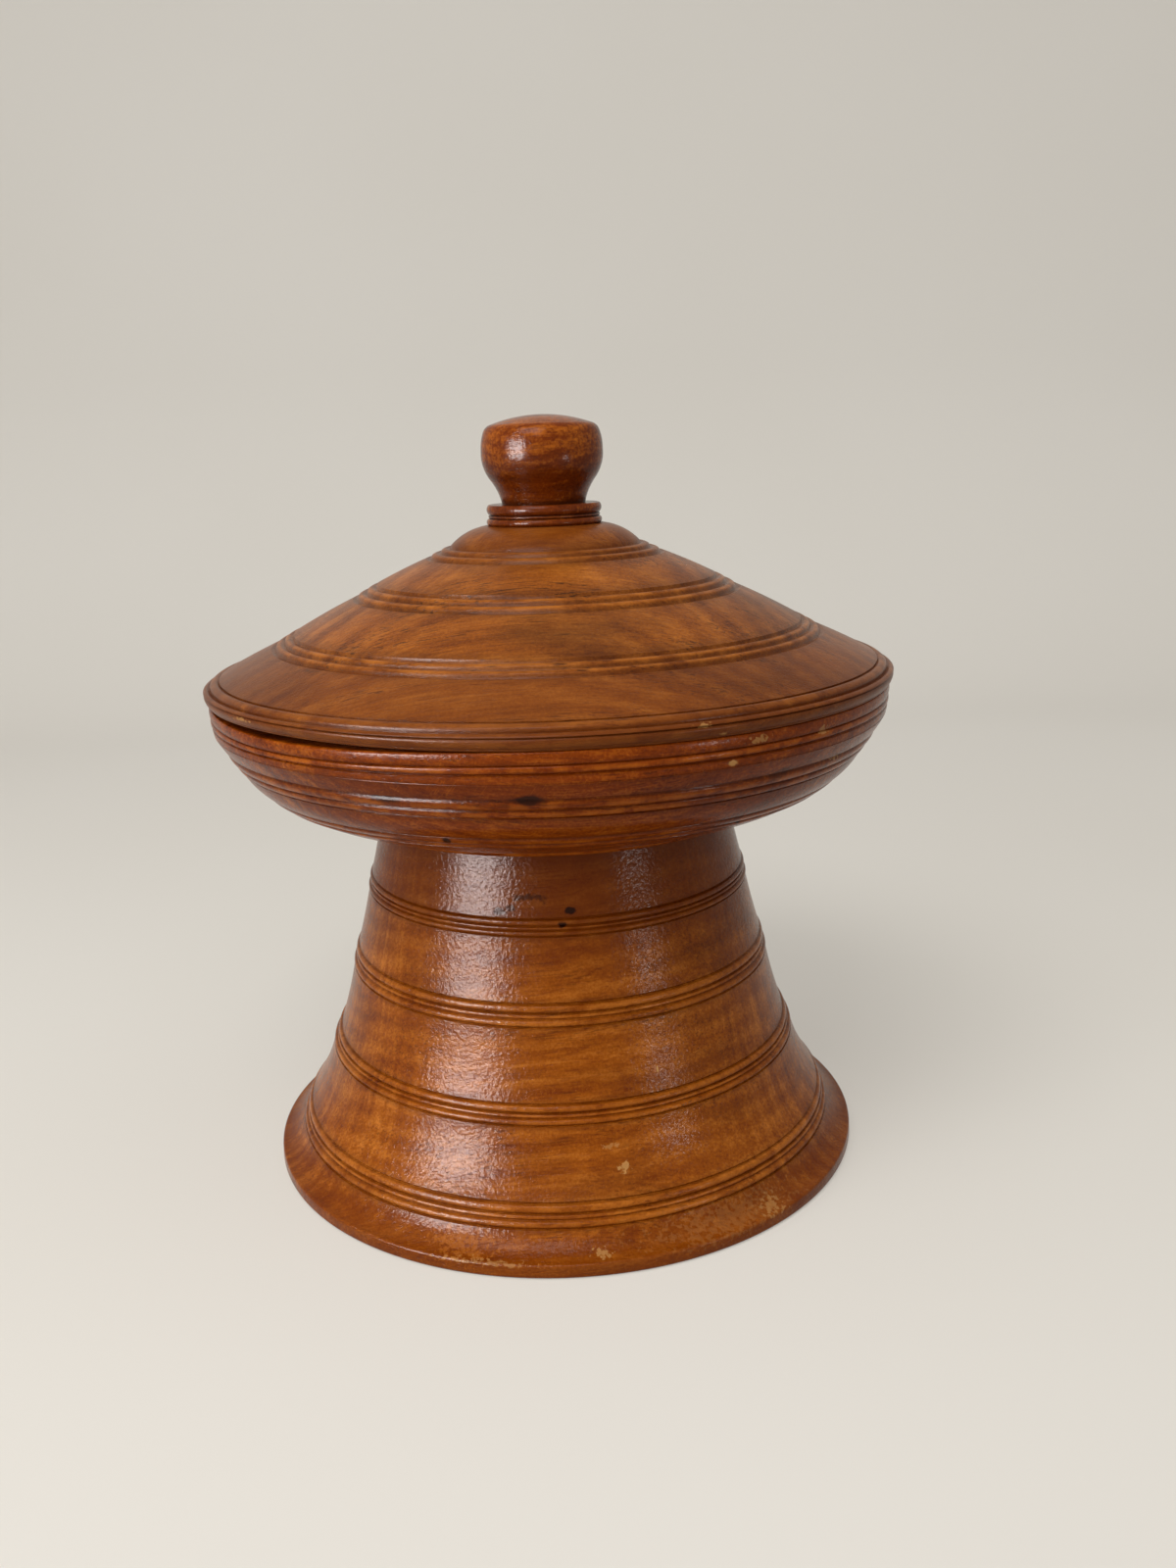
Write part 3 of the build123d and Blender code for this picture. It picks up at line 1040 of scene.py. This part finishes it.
FOOT_WOOD = WoodFinish(
    "varnished_foot_wood",
    pale=srgb(192, 112, 36),
    middle=srgb(150, 77, 12),
    deep=srgb(110, 45, 4),
    pith=(-40.0, 420.0),
    ring=11.0,
    seed=0.87,
    tilt=5.0,
    roughness=0.19,
    dashes=0.4,
    dirt_and_shade_strength=0.95,
    cloud=0.25,
    peel=1.25,
    marks=(
        # The first mark darkens the top of the foot towards the bowl, as painted shade under the bowl's
        # overhang.
        Mark(MarkKind.DARKENED, 0.0, 192.0, 92.0, ALL_ROUND, 130.0, 0.6, 0.7),
        Mark(MarkKind.DARKENED, 0.0, 4.0, 152.0, ALL_ROUND, 28.0, 0.5, 3.0),
        Mark(MarkKind.WORN, -20.0, 11.0, 152.0, 26.0, 9.0, 0.35, 6.0),
        Mark(MarkKind.CHIPPED, 30.0, 11.0, 152.0, 60.0, 10.0, 0.13, 7.0),
        Mark(MarkKind.STAIN, -16.6, 156.3, 98.9, 8.0, 5.0, 0.8, 2.0),
        Mark(MarkKind.STAIN, -13.8, 158.7, 98.2, 6.0, 4.0, 0.7),
        Mark(MarkKind.STAIN, -8.0, 163.5, 97.4, 14.0, 4.0, 0.7, 5.0),
        Mark(MarkKind.STAIN, 3.0, 157.1, 98.6, 5.0, 3.5),
        Mark(MarkKind.STAIN, 1.0, 150.5, 100.2, 6.0, 3.5),
        Mark(MarkKind.CHIPPED, 11.3, 39.9, 134.2, 5.0, 4.5, 0.7, 5.0),
        Mark(MarkKind.CHIPPED, 9.2, 49.6, 129.9, 8.0, 2.0, 0.4, 6.0),
        Mark(MarkKind.CHIPPED, 21.9, 79.2, 118.3, 1.2, 3.6, 1.0, 0.5),
        Mark(MarkKind.CHIPPED, 5.3, 9.1, 154.8, 7.0, 3.0, 0.5, 6.0),
        Mark(MarkKind.CHIPPED, 39.5, 8.9, 155.2, 12.0, 5.0, 0.35, 6.0),
        Mark(MarkKind.CHIPPED, -15.0, 6.5, 157.0, 40.0, 1.6, 0.35, 6.0),
    ),
)
KNOB_WOOD = WoodFinish(
    "varnished_knob_wood",
    pale=srgb(184, 100, 24),
    middle=srgb(116, 48, 5),
    deep=srgb(74, 24, 1),
    pith=(10.0, 300.0),
    ring=6.0,
    seed=1.4,
    tilt=1.0,
    roughness=0.17,
    ring_strength=0.1,
    figure=0.3,
    dashes=0.3,
    scratches=0.12,
    peel=0.6,
    gloss=0.12,
)
PEG_WOOD = WoodFinish(
    "bare_peg_wood",
    pale=srgb(196, 150, 98),
    middle=srgb(168, 120, 72),
    deep=srgb(120, 80, 46),
    pith=(3.0, 3.0),
    ring=1.2,
    seed=2.1,
    roughness=0.6,
    scratches=0.0,
    peel=0.6,
)

# The cuts of each turned band, from its lower edge to its upper one
FOOT_CUTS = (
    Stroke(Cut.GROOVE, 0.9, -0.75),
    Stroke(Cut.BEAD, 2.3, 0.7),
    Stroke(Cut.GROOVE, 0.8, -0.45, 0.6),
    Stroke(Cut.BEAD, 1.2, 0.2),
    Stroke(Cut.GROOVE, 0.9, -0.75),
    Stroke(Cut.BEAD, 2.8, 0.8),
    Stroke(Cut.GROOVE, 1.0, -0.75),
)
BOWL_LOW_CUTS = (
    Stroke(Cut.GROOVE, 1.0, -0.75),
    Stroke(Cut.BEAD, 2.9, 0.5),
    Stroke(Cut.GROOVE, 1.0, -0.75),
    Stroke(Cut.BEAD, 5.0, 0.6),
    Stroke(Cut.GROOVE, 1.0, -0.75),
)
BOWL_MIDDLE_CUTS = (
    Stroke(Cut.GROOVE, 1.0, -0.75),
    Stroke(Cut.BEAD, 3.6, 0.5),
    Stroke(Cut.GROOVE, 1.1, -0.75),
    Stroke(Cut.BEAD, 4.4, 0.6),
    Stroke(Cut.GROOVE, 2.0, -0.9),
)
BOWL_RIM_CUTS = (
    Stroke(Cut.GROOVE, 1.4, -0.75),
    Stroke(Cut.BEAD, 2.7, 0.4),
    Stroke(Cut.GROOVE, 0.9, -0.75),
)
LID_FACE_CUTS = (Stroke(Cut.BEAD, 4.2, 0.7), Stroke(Cut.GROOVE, 1.0, -0.9))
LID_RIM_CUTS = (
    Stroke(Cut.BEAD, 2.2, 0.4),
    Stroke(Cut.GROOVE, 1.5, -1.2),
    Stroke(Cut.BEAD, 3.8, 0.9),
    Stroke(Cut.GROOVE, 1.0, -0.9, 0.8),
)
LID_CUTS = (
    Stroke(Cut.GROOVE, 3.2, -1.2),
    Stroke(Cut.BEAD, 2.3, 0.3),
    Stroke(Cut.GROOVE, 2.6, -1.05),
    Stroke(Cut.BEAD, 2.3, 0.3),
    Stroke(Cut.GROOVE, 2.7, -1.2),
)
RING_CUT = Stroke(Cut.BEAD, 4.2, 0.8)
SCRIBED_CUT = Stroke(Cut.GROOVE, 0.5, -0.15, 0.5)


@dataclass
class Pedestal:
    """The hollow flared foot, from the floor up."""

    foot_radius: float = 158.3
    edge_height: float = 7.2
    edge_worn: float = 1.2
    wall: float = 13.0
    ring_width: float = 14.0
    neck: tuple[float, float] = (91.8, 187.6)
    bands: tuple = (
        ((145.3, 17.0), (140.3, 28.9)),
        ((126.1, 59.4), (121.4, 69.4)),
        ((112.2, 103.1), (108.9, 115.0)),
        ((101.4, 144.8), (99.4, 154.0)),
    )
    hollows: tuple[float, ...] = (1.5, 1.6, 0.6, 0.3, 0.3)
    spigot_radius: float = 86.0
    spigot_length: float = 12.0
    spigot_bore: float = 75.0
    # The inner wall, from the spigot down
    inside: tuple = ((75.0, 174.6), (87.8, 146.2), (98.1, 105.4), (111.9, 59.0))

    def outline(self) -> Outline:
        """Draw half the foot's section.

        Returns:
            The outline, in millimetres.
        """
        outline = Outline(self.foot_radius - self.ring_width, 0)
        outline.line(self.foot_radius - self.edge_worn * 1.6, 0)
        outline.arc(self.foot_radius, self.edge_worn * 1.4, self.edge_worn * 0.4)
        outline.line(self.foot_radius - 0.2, self.edge_height - self.edge_worn * 1.3)
        outline.arc(self.foot_radius - self.edge_worn * 1.5, self.edge_height, self.edge_worn * 0.4)
        for (low, high), hollow in zip(self.bands, self.hollows):
            outline.arc(*low, -hollow)
            outline.band(*high, FOOT_CUTS)
        outline.arc(*self.neck, -self.hollows[-1])
        # Painted shade at the top of the foot: a dark line where it meets the bowl and a wide darkening under
        # the bowl's overhang.
        outline.add_dirt_and_shade(*self.neck, 2.5, 0.8)
        outline.add_dirt_and_shade(*self.neck, 22.0, 0.55)
        outline.line(self.spigot_radius, self.neck[1])
        outline.line(self.spigot_radius, self.neck[1] + self.spigot_length)
        outline.line(self.spigot_bore, self.neck[1] + self.spigot_length)
        for point in self.inside:
            outline.line(*point)
        return outline.line(*outline.points[0])

    def build(self, lathe: LatheTree) -> bpy.types.Object:
        """Turn the foot and put it in place of its solid.

        Args:
            lathe: turns the outline.

        Returns:
            The finished piece.
        """
        piece = lathe.turn("flared_foot", self.outline(), FOOT_WOOD.material(), 256, seed=1.0)
        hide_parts("pedestal")
        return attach(piece, "base")


@dataclass
class Bowl:
    """The shallow bowl on the foot; its heights are from the floor."""

    seat: float = 187.6
    rim_radius: float = 174.0
    rim_height: float = 251.2
    rim_width: float = 13.0
    floor_height: float = 210.5
    floor_radius: float = 118.0
    mouth_depth: float = 11.0
    hollow_rise: float = 9.0
    ring_radius: float = 112.0
    ring_height: float = 3.0
    socket_radius: float = 86.1
    socket_depth: float = 12.4
    under: tuple[float, float, float] = (142.9, 201.5, 1.4)
    low_band: tuple[float, float] = (152.0, 208.5)
    flank: tuple[float, float, float] = (161.5, 219.6, 0.9)
    middle_band: tuple[float, float] = (168.2, 230.0)
    wall: tuple[float, float, float] = (172.6, 237.0, 0.2)
    scribed: tuple[float, float] = (172.7, 237.5)
    brow: tuple[float, float, float] = (173.2, 240.7, 0.1)
    rim_band: tuple[float, float] = (173.5, 245.7)
    edge: float = 1.2
    mouth_edge: float = 1.0
    floor_steps: tuple[float, ...] = (80.0, 30.0)
    sag: Sag = Sag(-1.8, -46.0, 44.0, 236.0, 250.0)

    def outline(self) -> Outline:
        """Draw half the bowl's section.

        Returns:
            The outline, in millimetres.
        """
        outline = Outline(0, self.seat + self.socket_depth)
        outline.line(self.socket_radius, self.seat + self.socket_depth)
        outline.line(self.socket_radius, self.seat)
        outline.line(self.ring_radius - self.ring_height, self.seat)
        outline.stroke(self.ring_radius, self.seat + self.ring_height, RING_CUT)
        # Painted shade on the bowl's underside, just outside the ring it sits on.
        outline.add_dirt_and_shade(self.ring_radius + 1.5, self.seat + self.ring_height + 1.0, 2.6, 0.9)
        outline.arc(*self.under).band(*self.low_band, BOWL_LOW_CUTS)
        outline.arc(*self.flank).band(*self.middle_band, BOWL_MIDDLE_CUTS)
        outline.arc(*self.wall).stroke(*self.scribed, SCRIBED_CUT)
        outline.arc(*self.brow).band(*self.rim_band, BOWL_RIM_CUTS)
        outline.arc(self.rim_radius, self.rim_height - self.edge, 0.3)
        outline.arc(self.rim_radius - self.edge, self.rim_height, self.edge * 0.29)
        mouth = self.rim_radius - self.rim_width
        outline.line(mouth + self.mouth_edge, self.rim_height)
        outline.line(mouth, self.rim_height - self.mouth_edge)
        outline.line(mouth, self.rim_height - self.mouth_depth)
        outline.arc(self.floor_radius, self.floor_height, -self.hollow_rise)
        for radius in self.floor_steps:
            outline.line(radius, self.floor_height)
        return outline.line(0, self.floor_height)

    def build(self, lathe: LatheTree) -> bpy.types.Object:
        """Turn the bowl and put it in place of its solid.

        Args:
            lathe: turns the outline.

        Returns:
            The finished piece.
        """
        piece = lathe.turn("shallow_bowl", self.outline(), BOWL_WOOD.material(), 300, seed=2.0, sag=self.sag)
        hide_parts("bowl")
        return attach(piece, "base")


@dataclass
class Lid:
    """The hollow conical lid; its heights are from the floor."""

    rim: float = 251.2
    radius: float = 176.0
    edge_radius: float = 174.2
    widest: float = 6.3
    shoulder: tuple[float, float] = (167.8, 262.6)
    bands: tuple = (
        ((141.5, 275.3), (129.7, 282.0)),
        ((99.6, 297.4), (86.6, 304.7)),
        ((61.4, 316.1), (48.2, 322.4)),
    )
    rises: tuple[float, ...] = (0.3, 0.4, 0.3)
    crown: tuple[float, float, float] = (28.6, 331.6, 2.0)
    flange_radius: float = 159.4
    flange_depth: float = 8.0
    hollow_radius: float = 152.4
    hollow_height: float = 259.2
    ceiling: tuple[float, float] = (44.0, 315.0)
    bore_radius: float = 11.05
    edge: float = 1.2
    sag: Sag = Sag(1.2, -46.0, 44.0, 262.0, 252.5)

    def outline(self) -> Outline:
        """Draw half the lid's section.

        Returns:
            The outline, in millimetres.
        """
        outline = Outline(self.hollow_radius, self.rim - self.flange_depth)
        outline.line(self.flange_radius, self.rim - self.flange_depth)
        outline.line(self.flange_radius, self.rim)
        outline.line(self.edge_radius - self.edge, self.rim)
        outline.arc(self.edge_radius, self.rim + self.edge, self.edge * 0.3)
        outline.band(self.radius, self.rim + self.widest, LID_FACE_CUTS)
        outline.band(*self.shoulder, LID_RIM_CUTS)
        for (low, high), rise in zip(self.bands, self.rises):
            outline.arc(*low, rise).add_dirt_and_shade(*low, 5.0, 0.22)
            outline.band(*high, LID_CUTS).add_dirt_and_shade(*high, 7.0, 0.3)
        crown, top, _ = self.crown
        outline.arc(*self.crown).add_dirt_and_shade(crown, top, 2.2, 0.8)
        outline.line(self.bore_radius, top)
        outline.line(self.bore_radius, self.ceiling[1])
        outline.line(*self.ceiling)
        outline.line(self.hollow_radius, self.hollow_height)
        return outline.line(*outline.points[0])

    def build(self, lathe: LatheTree) -> bpy.types.Object:
        """Turn the lid and put it in place of its solid.

        Args:
            lathe: turns the outline.

        Returns:
            The finished piece.
        """
        piece = lathe.turn("conical_lid", self.outline(), LID_WOOD.material(), 300, seed=3.0, sag=self.sag)
        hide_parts("lid")
        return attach(piece, "lid")


@dataclass
class Knob:
    """The mushroom knob and its collar; its heights are from the lid's top."""

    seat: float = 331.6
    seat_radius: float = 28.6
    collar_radius: float = 29.4
    low_bead: float = 3.6
    fillet: float = 1.6
    high_bead: float = 5.0
    groove_radius: float = 28.0
    tenon_radius: float = 11.0
    tenon_bottom: float = 313.0
    throat: float = 21.2
    waist: tuple[float, float, float] = (26.0, 353.0, -0.6)
    belly: tuple[float, float, float] = (30.9, 368.5, 1.6)
    cheek: tuple[float, float, float] = (29.4, 377.5, 0.4)
    brow: tuple[float, float, float] = (25.0, 381.3, 0.8)
    top: float = 385.6

    def outline(self) -> Outline:
        """Draw half the knob's section.

        Returns:
            The outline, in millimetres.
        """
        low = self.seat + self.low_bead
        fillet = low + self.fillet
        collar = fillet + self.high_bead
        outline = Outline(0, self.tenon_bottom)
        outline.line(self.tenon_radius, self.tenon_bottom)
        outline.line(self.tenon_radius, self.seat)
        outline.line(self.seat_radius, self.seat)
        outline.arc(self.groove_radius, low, 1.2).add_dirt_and_shade(self.groove_radius, low, 0.9, 1.0)
        outline.arc(self.groove_radius, fillet, 0.5).add_dirt_and_shade(self.groove_radius, fillet, 0.9, 1.0)
        outline.arc(self.collar_radius - 0.6, collar - 0.6, 0.9)
        outline.arc(self.collar_radius - 2.0, collar, 0.3)
        outline.line(self.throat, collar + 0.2).add_dirt_and_shade(self.throat, collar + 0.2, 2.2, 0.9)
        for stretch in (self.waist, self.belly, self.cheek, self.brow):
            outline.arc(*stretch)
        return outline.dome(self.top)

    def build(self, lathe: LatheTree) -> bpy.types.Object:
        """Turn the knob and put it in place of its solid.

        Args:
            lathe: turns the outline.

        Returns:
            The finished piece.
        """
        piece = lathe.turn("mushroom_knob", self.outline(), KNOB_WOOD.material(), 160, seed=4.0, waver=0.004)
        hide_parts("knob")
        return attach(piece, "lid")


class RingTree:
    """The Geometry Nodes that set copies of a piece round the Z axis."""

    INPUTS = (
        ("Count", "NodeSocketInt", 3),
        ("First Turn", "NodeSocketFloat", 0.0),
        ("Material", "NodeSocketMaterial", None),
    )

    def __init__(self) -> None:
        """Draw the tree."""
        self.tree, self.sockets = named_inputs("set_round_the_axis", self.INPUTS)
        graph = Graph(self.tree)
        given = graph.add("NodeGroupInput", output="Geometry")
        heap = {"Count": given.out("Count"), "Offset": (0.0, 0.0, 0.0)}
        points = graph.add("GeometryNodeMeshLine", {}, heap)
        angle = graph.add("GeometryNodeInputIndex") / given.out("Count") * math.tau + given.out("First Turn")
        turned = graph.vector(0.0, 0.0, angle)
        copies = graph.add(
            "GeometryNodeInstanceOnPoints", {}, {"Points": points, "Instance": given, "Rotation": turned}
        )
        finish_tree(graph, copies, given.out("Material"))

    def spread(self, blank: bpy.types.Object, name: str, count: int, first: float,
               material: bpy.types.Material) -> bpy.types.Object:
        """Set copies of a blank evenly round the axis, as one piece, and remove the blank.

        Args:
            blank: the piece to copy, as it stands at an azimuth of 90.
            name: the new object's name.
            count: how many copies there are.
            first: how far the first is turned, in degrees.
            material: their finish.

        Returns:
            The object, at the origin.
        """
        modifier = blank.modifiers.new("ring", "NODES")
        modifier.node_group = self.tree
        for title, value in {"Count": count, "First Turn": math.radians(first), "Material": material}.items():
            modifier[self.sockets[title]] = value
        return place(name, settle(blank, name), material)


@dataclass
class PegRing:
    """The pegs that lock the foot's spigot in the bowl, a hair proud of the spigot's bore."""

    radius: float = 2.5
    length: float = 24.5
    bore: float = 75.0
    proud: float = 0.4
    chamfer: float = 0.4
    height: float = 193.6
    count: int = 3
    first: float = 90.0

    def outline(self) -> Outline:
        """Draw half a peg's section, standing on its driven end.

        Returns:
            The outline, in millimetres.
        """
        outline = Outline(0, 0).line(self.radius - self.chamfer, 0)
        outline.arc(self.radius, self.chamfer, self.chamfer * 0.2)
        outline.line(self.radius, self.length - self.chamfer)
        outline.line(self.radius - self.chamfer, self.length)
        return outline.line(0, self.length)

    def build(self, lathe: LatheTree) -> bpy.types.Object:
        """Turn a peg, lay it on its side and set it round the bore.

        Args:
            lathe: turns the outline.

        Returns:
            The finished piece.
        """
        material = PEG_WOOD.material()
        peg = lathe.turn("peg", self.outline(), material, 24, seed=5.0)
        start = Vector((self.bore - self.proud, 0.0, self.height)) * MM
        peg.data.transform(Matrix.Translation(start) @ Matrix.Rotation(math.pi / 2, 4, "Y"))
        piece = RingTree().spread(peg, "bowl_peg_ring", self.count, self.first, material)
        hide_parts("bowl_pegs")
        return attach(piece, "base")


@dataclass
class TenonWedge:
    """The wedge that spreads the knob's tenon, driven in from below; its heights are from the floor."""

    thick: float = 3.5
    thin: float = 1.0
    width: float = 19.0
    low: float = 312.5
    high: float = 329.0
    bevel: float = 0.25

    def build(self, _lathe: LatheTree) -> bpy.types.Object:
        """Split the wedge to its taper and bevel its edges.

        Args:
            _lathe: not used, since the wedge isn't turned.

        Returns:
            The finished piece.
        """
        form = bmesh.new()
        rings = []
        corners = ((-1, -1), (1, -1), (1, 1), (-1, 1))
        for height, thickness in ((self.low, self.thick), (self.high, self.thin)):
            ring = [(x * thickness / 2 * MM, y * self.width / 2 * MM, height * MM) for x, y in corners]
            rings.append([form.verts.new(corner) for corner in ring])
        low, high = rings
        form.faces.new(low)
        form.faces.new(high)
        for index in range(len(corners)):
            after = (index + 1) % len(corners)
            form.faces.new((low[index], low[after], high[after], high[index]))
        bmesh.ops.bevel(
            form, geom=form.edges[:], offset=self.bevel * MM, segments=2, affect="EDGES", profile=0.5
        )
        mesh = bpy.data.meshes.new("tenon_wedge")
        form.to_mesh(mesh)
        form.free()
        piece = place("tenon_wedge", mesh, PEG_WOOD.material())
        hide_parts("knob_wedge")
        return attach(piece, "lid")


@dataclass(frozen=True)
class Lamp:
    """A rectangular lamp that faces the object; a glint only shows in the varnish."""

    name: str
    azimuth: float
    height: float
    away: float
    size: tuple[float, float]
    power: float
    glint: bool = False

    def hang(self) -> None:
        """Hang the lamp in the room."""
        data = bpy.data.lights.new(self.name, "AREA")
        data.shape = "RECTANGLE"
        data.size, data.size_y = self.size
        data.energy = self.power
        angle = math.radians(self.azimuth)
        spot = Vector((math.sin(angle) * self.away, -math.cos(angle) * self.away, self.height))
        lamp = bpy.data.objects.new(self.name, data)
        lamp.visible_diffuse = not self.glint
        aim = (Vector((0, 0, AIM_HEIGHT)) - spot).to_track_quat("-Z", "Y")
        lamp.matrix_world = Matrix.LocRotScale(spot, aim, None)
        bpy.context.scene.collection.objects.link(lamp)


# A tall window at the front left, a small one at the right and light from above. The tall window's glint
# hangs a little in front of the window itself, because lamps at one place hide each other in a reflection.
AIM_HEIGHT = 0.2
LAMPS = (
    Lamp("window", -48.0, 0.44, 1.5, (0.95, 0.85), 7.0),
    Lamp("window_glint", -48.0, 0.44, 1.42, (0.7, 0.7), 60.0, glint=True),
    Lamp("small_window_glint", 45.0, 0.16, 0.9, (0.09, 0.05), 0.9, glint=True),
    Lamp("skylight", -25.0, 1.5, 1.0, (1.0, 0.8), 15.0),
)


@dataclass
class Studio:
    """The pale room round the object: floor, backdrop, lamps and the photograph's camera."""

    focal_pixels: float = 1378.8
    eye: tuple[float, float, float] = (0.0, -0.70275, 0.37006)
    yaw: float = 1.465
    pitch: float = 14.095
    roll: float = -1.816
    sensor: float = 36.0
    bounce: Colour = srgb(150, 144, 134)
    glow: float = 0.45
    front: float = -3.0
    back: float = 1.6
    bend: float = 0.5
    high: float = 3.5
    half_width: float = 4.0
    steps: int = 16
    drop: float = 0.0002

    @staticmethod
    def _seen(graph: Graph) -> Wire:
        """Return 1 for rays that see the room straight, mirrored or through glass, and 0 for the others."""
        path = graph.add("ShaderNodeLightPath", output="Is Camera Ray")
        return path.most(path.out("Is Glossy Ray")).most(path.out("Is Transmission Ray"))

    def camera(self) -> None:
        """Put the camera where the photograph was taken from."""
        yaw, pitch, roll = (math.radians(angle) for angle in (self.yaw, self.pitch, self.roll))
        level = Vector((math.sin(yaw), math.cos(yaw), 0))
        right = Vector((math.cos(yaw), -math.sin(yaw), 0))
        ahead = level * math.cos(pitch) - Vector((0, 0, 1)) * math.sin(pitch)
        up = right.cross(ahead)
        side = right * math.cos(roll) + up * math.sin(roll)
        top = up * math.cos(roll) - right * math.sin(roll)
        data = bpy.data.cameras.new("photograph_view")
        data.sensor_width = self.sensor
        data.lens = self.sensor * self.focal_pixels / PHOTO_HEIGHT
        data.clip_start = 0.02
        camera = bpy.data.objects.new("photograph_view", data)
        turn = Matrix((side, top, -ahead)).transposed().to_4x4()
        camera.matrix_world = Matrix.Translation(self.eye) @ turn
        bpy.context.scene.collection.objects.link(camera)
        bpy.context.scene.camera = camera

    def sweep(self) -> None:
        """Lay the floor, which curves up into the backdrop and lies a hair below the foot."""
        bend, back = self.bend, self.back
        rail = [(self.front, 0.0), (back - bend, 0.0)]
        for index in range(1, self.steps + 1):
            angle = math.pi / 2 * index / self.steps
            rail.append((back - bend + bend * math.sin(angle), bend - bend * math.cos(angle)))
        rail.append((back, self.high))
        mesh = bpy.data.meshes.new("floor_and_backdrop")
        sides = (-self.half_width, self.half_width)
        corners = [(x, y, z - self.drop) for y, z in rail for x in sides]
        faces = [(2 * i, 2 * i + 1, 2 * i + 3, 2 * i + 2) for i in range(len(rail) - 1)]
        mesh.from_pydata(corners, [], faces)
        mesh.shade_smooth()
        material = bpy.data.materials.new("pale_paint")
        material.use_nodes = True
        material.node_tree.nodes.clear()
        graph = Graph(material.node_tree)
        where = graph.add("ShaderNodeTexCoord", output="Object")
        tone = graph.blend(graph.noise(where, 1.2, 2.0), srgb(224, 218, 207), srgb(232, 227, 218))
        seen = self._seen(graph)
        base = graph.blend(seen, self.bounce, tone)
        paint = graph.add("ShaderNodeBsdfPrincipled", {}, {"Base Color": base, "Roughness": 0.9}, "BSDF")
        glow = graph.add("ShaderNodeEmission", {}, {"Color": tone, "Strength": 1.0})
        both = graph.add("ShaderNodeMixShader", {}, {0: seen * self.glow, 1: paint, 2: glow})
        graph.add("ShaderNodeOutputMaterial", {}, {"Surface": both})
        mesh.materials.append(material)
        floor = bpy.data.objects.new("floor_and_backdrop", mesh)
        bpy.context.scene.collection.objects.link(floor)

    def light(self) -> None:
        """Hang the lamps and fill the room with soft light."""
        for lamp in LAMPS:
            lamp.hang()
        world = bpy.data.worlds.new("soft_room")
        world.use_nodes = True
        world.node_tree.nodes.clear()
        graph = Graph(world.node_tree)
        towards = graph.add("ShaderNodeTexCoord", output="Generated")
        _, _, upward = graph.parts(towards)
        sky = graph.blend(upward.fade(-0.3, 0.9), srgb(120, 118, 116), srgb(232, 232, 232))
        tone = graph.blend(self._seen(graph), sky, srgb(226, 220, 209))
        light = graph.add("ShaderNodeBackground", {}, {"Color": tone, "Strength": 0.75})
        graph.add("ShaderNodeOutputWorld", {}, {"Surface": light})
        bpy.context.scene.world = world

    def build(self) -> None:
        """Set up the whole room."""
        self.camera()
        self.sweep()
        self.light()
        bpy.context.scene.view_settings.view_transform = "Standard"


def main() -> None:
    """Build the scene around the frame and report each piece."""
    logging.basicConfig(level=logging.INFO, format="%(name)s: %(message)s")
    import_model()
    Studio().build()
    lathe = LatheTree()
    for maker in (Pedestal(), Bowl(), PegRing(), Lid(), Knob(), TenonWedge()):
        piece = maker.build(lathe)
        LOG.info("%s: %d faces", piece.name, len(piece.data.polygons))


if __name__ == "__main__":
    main()
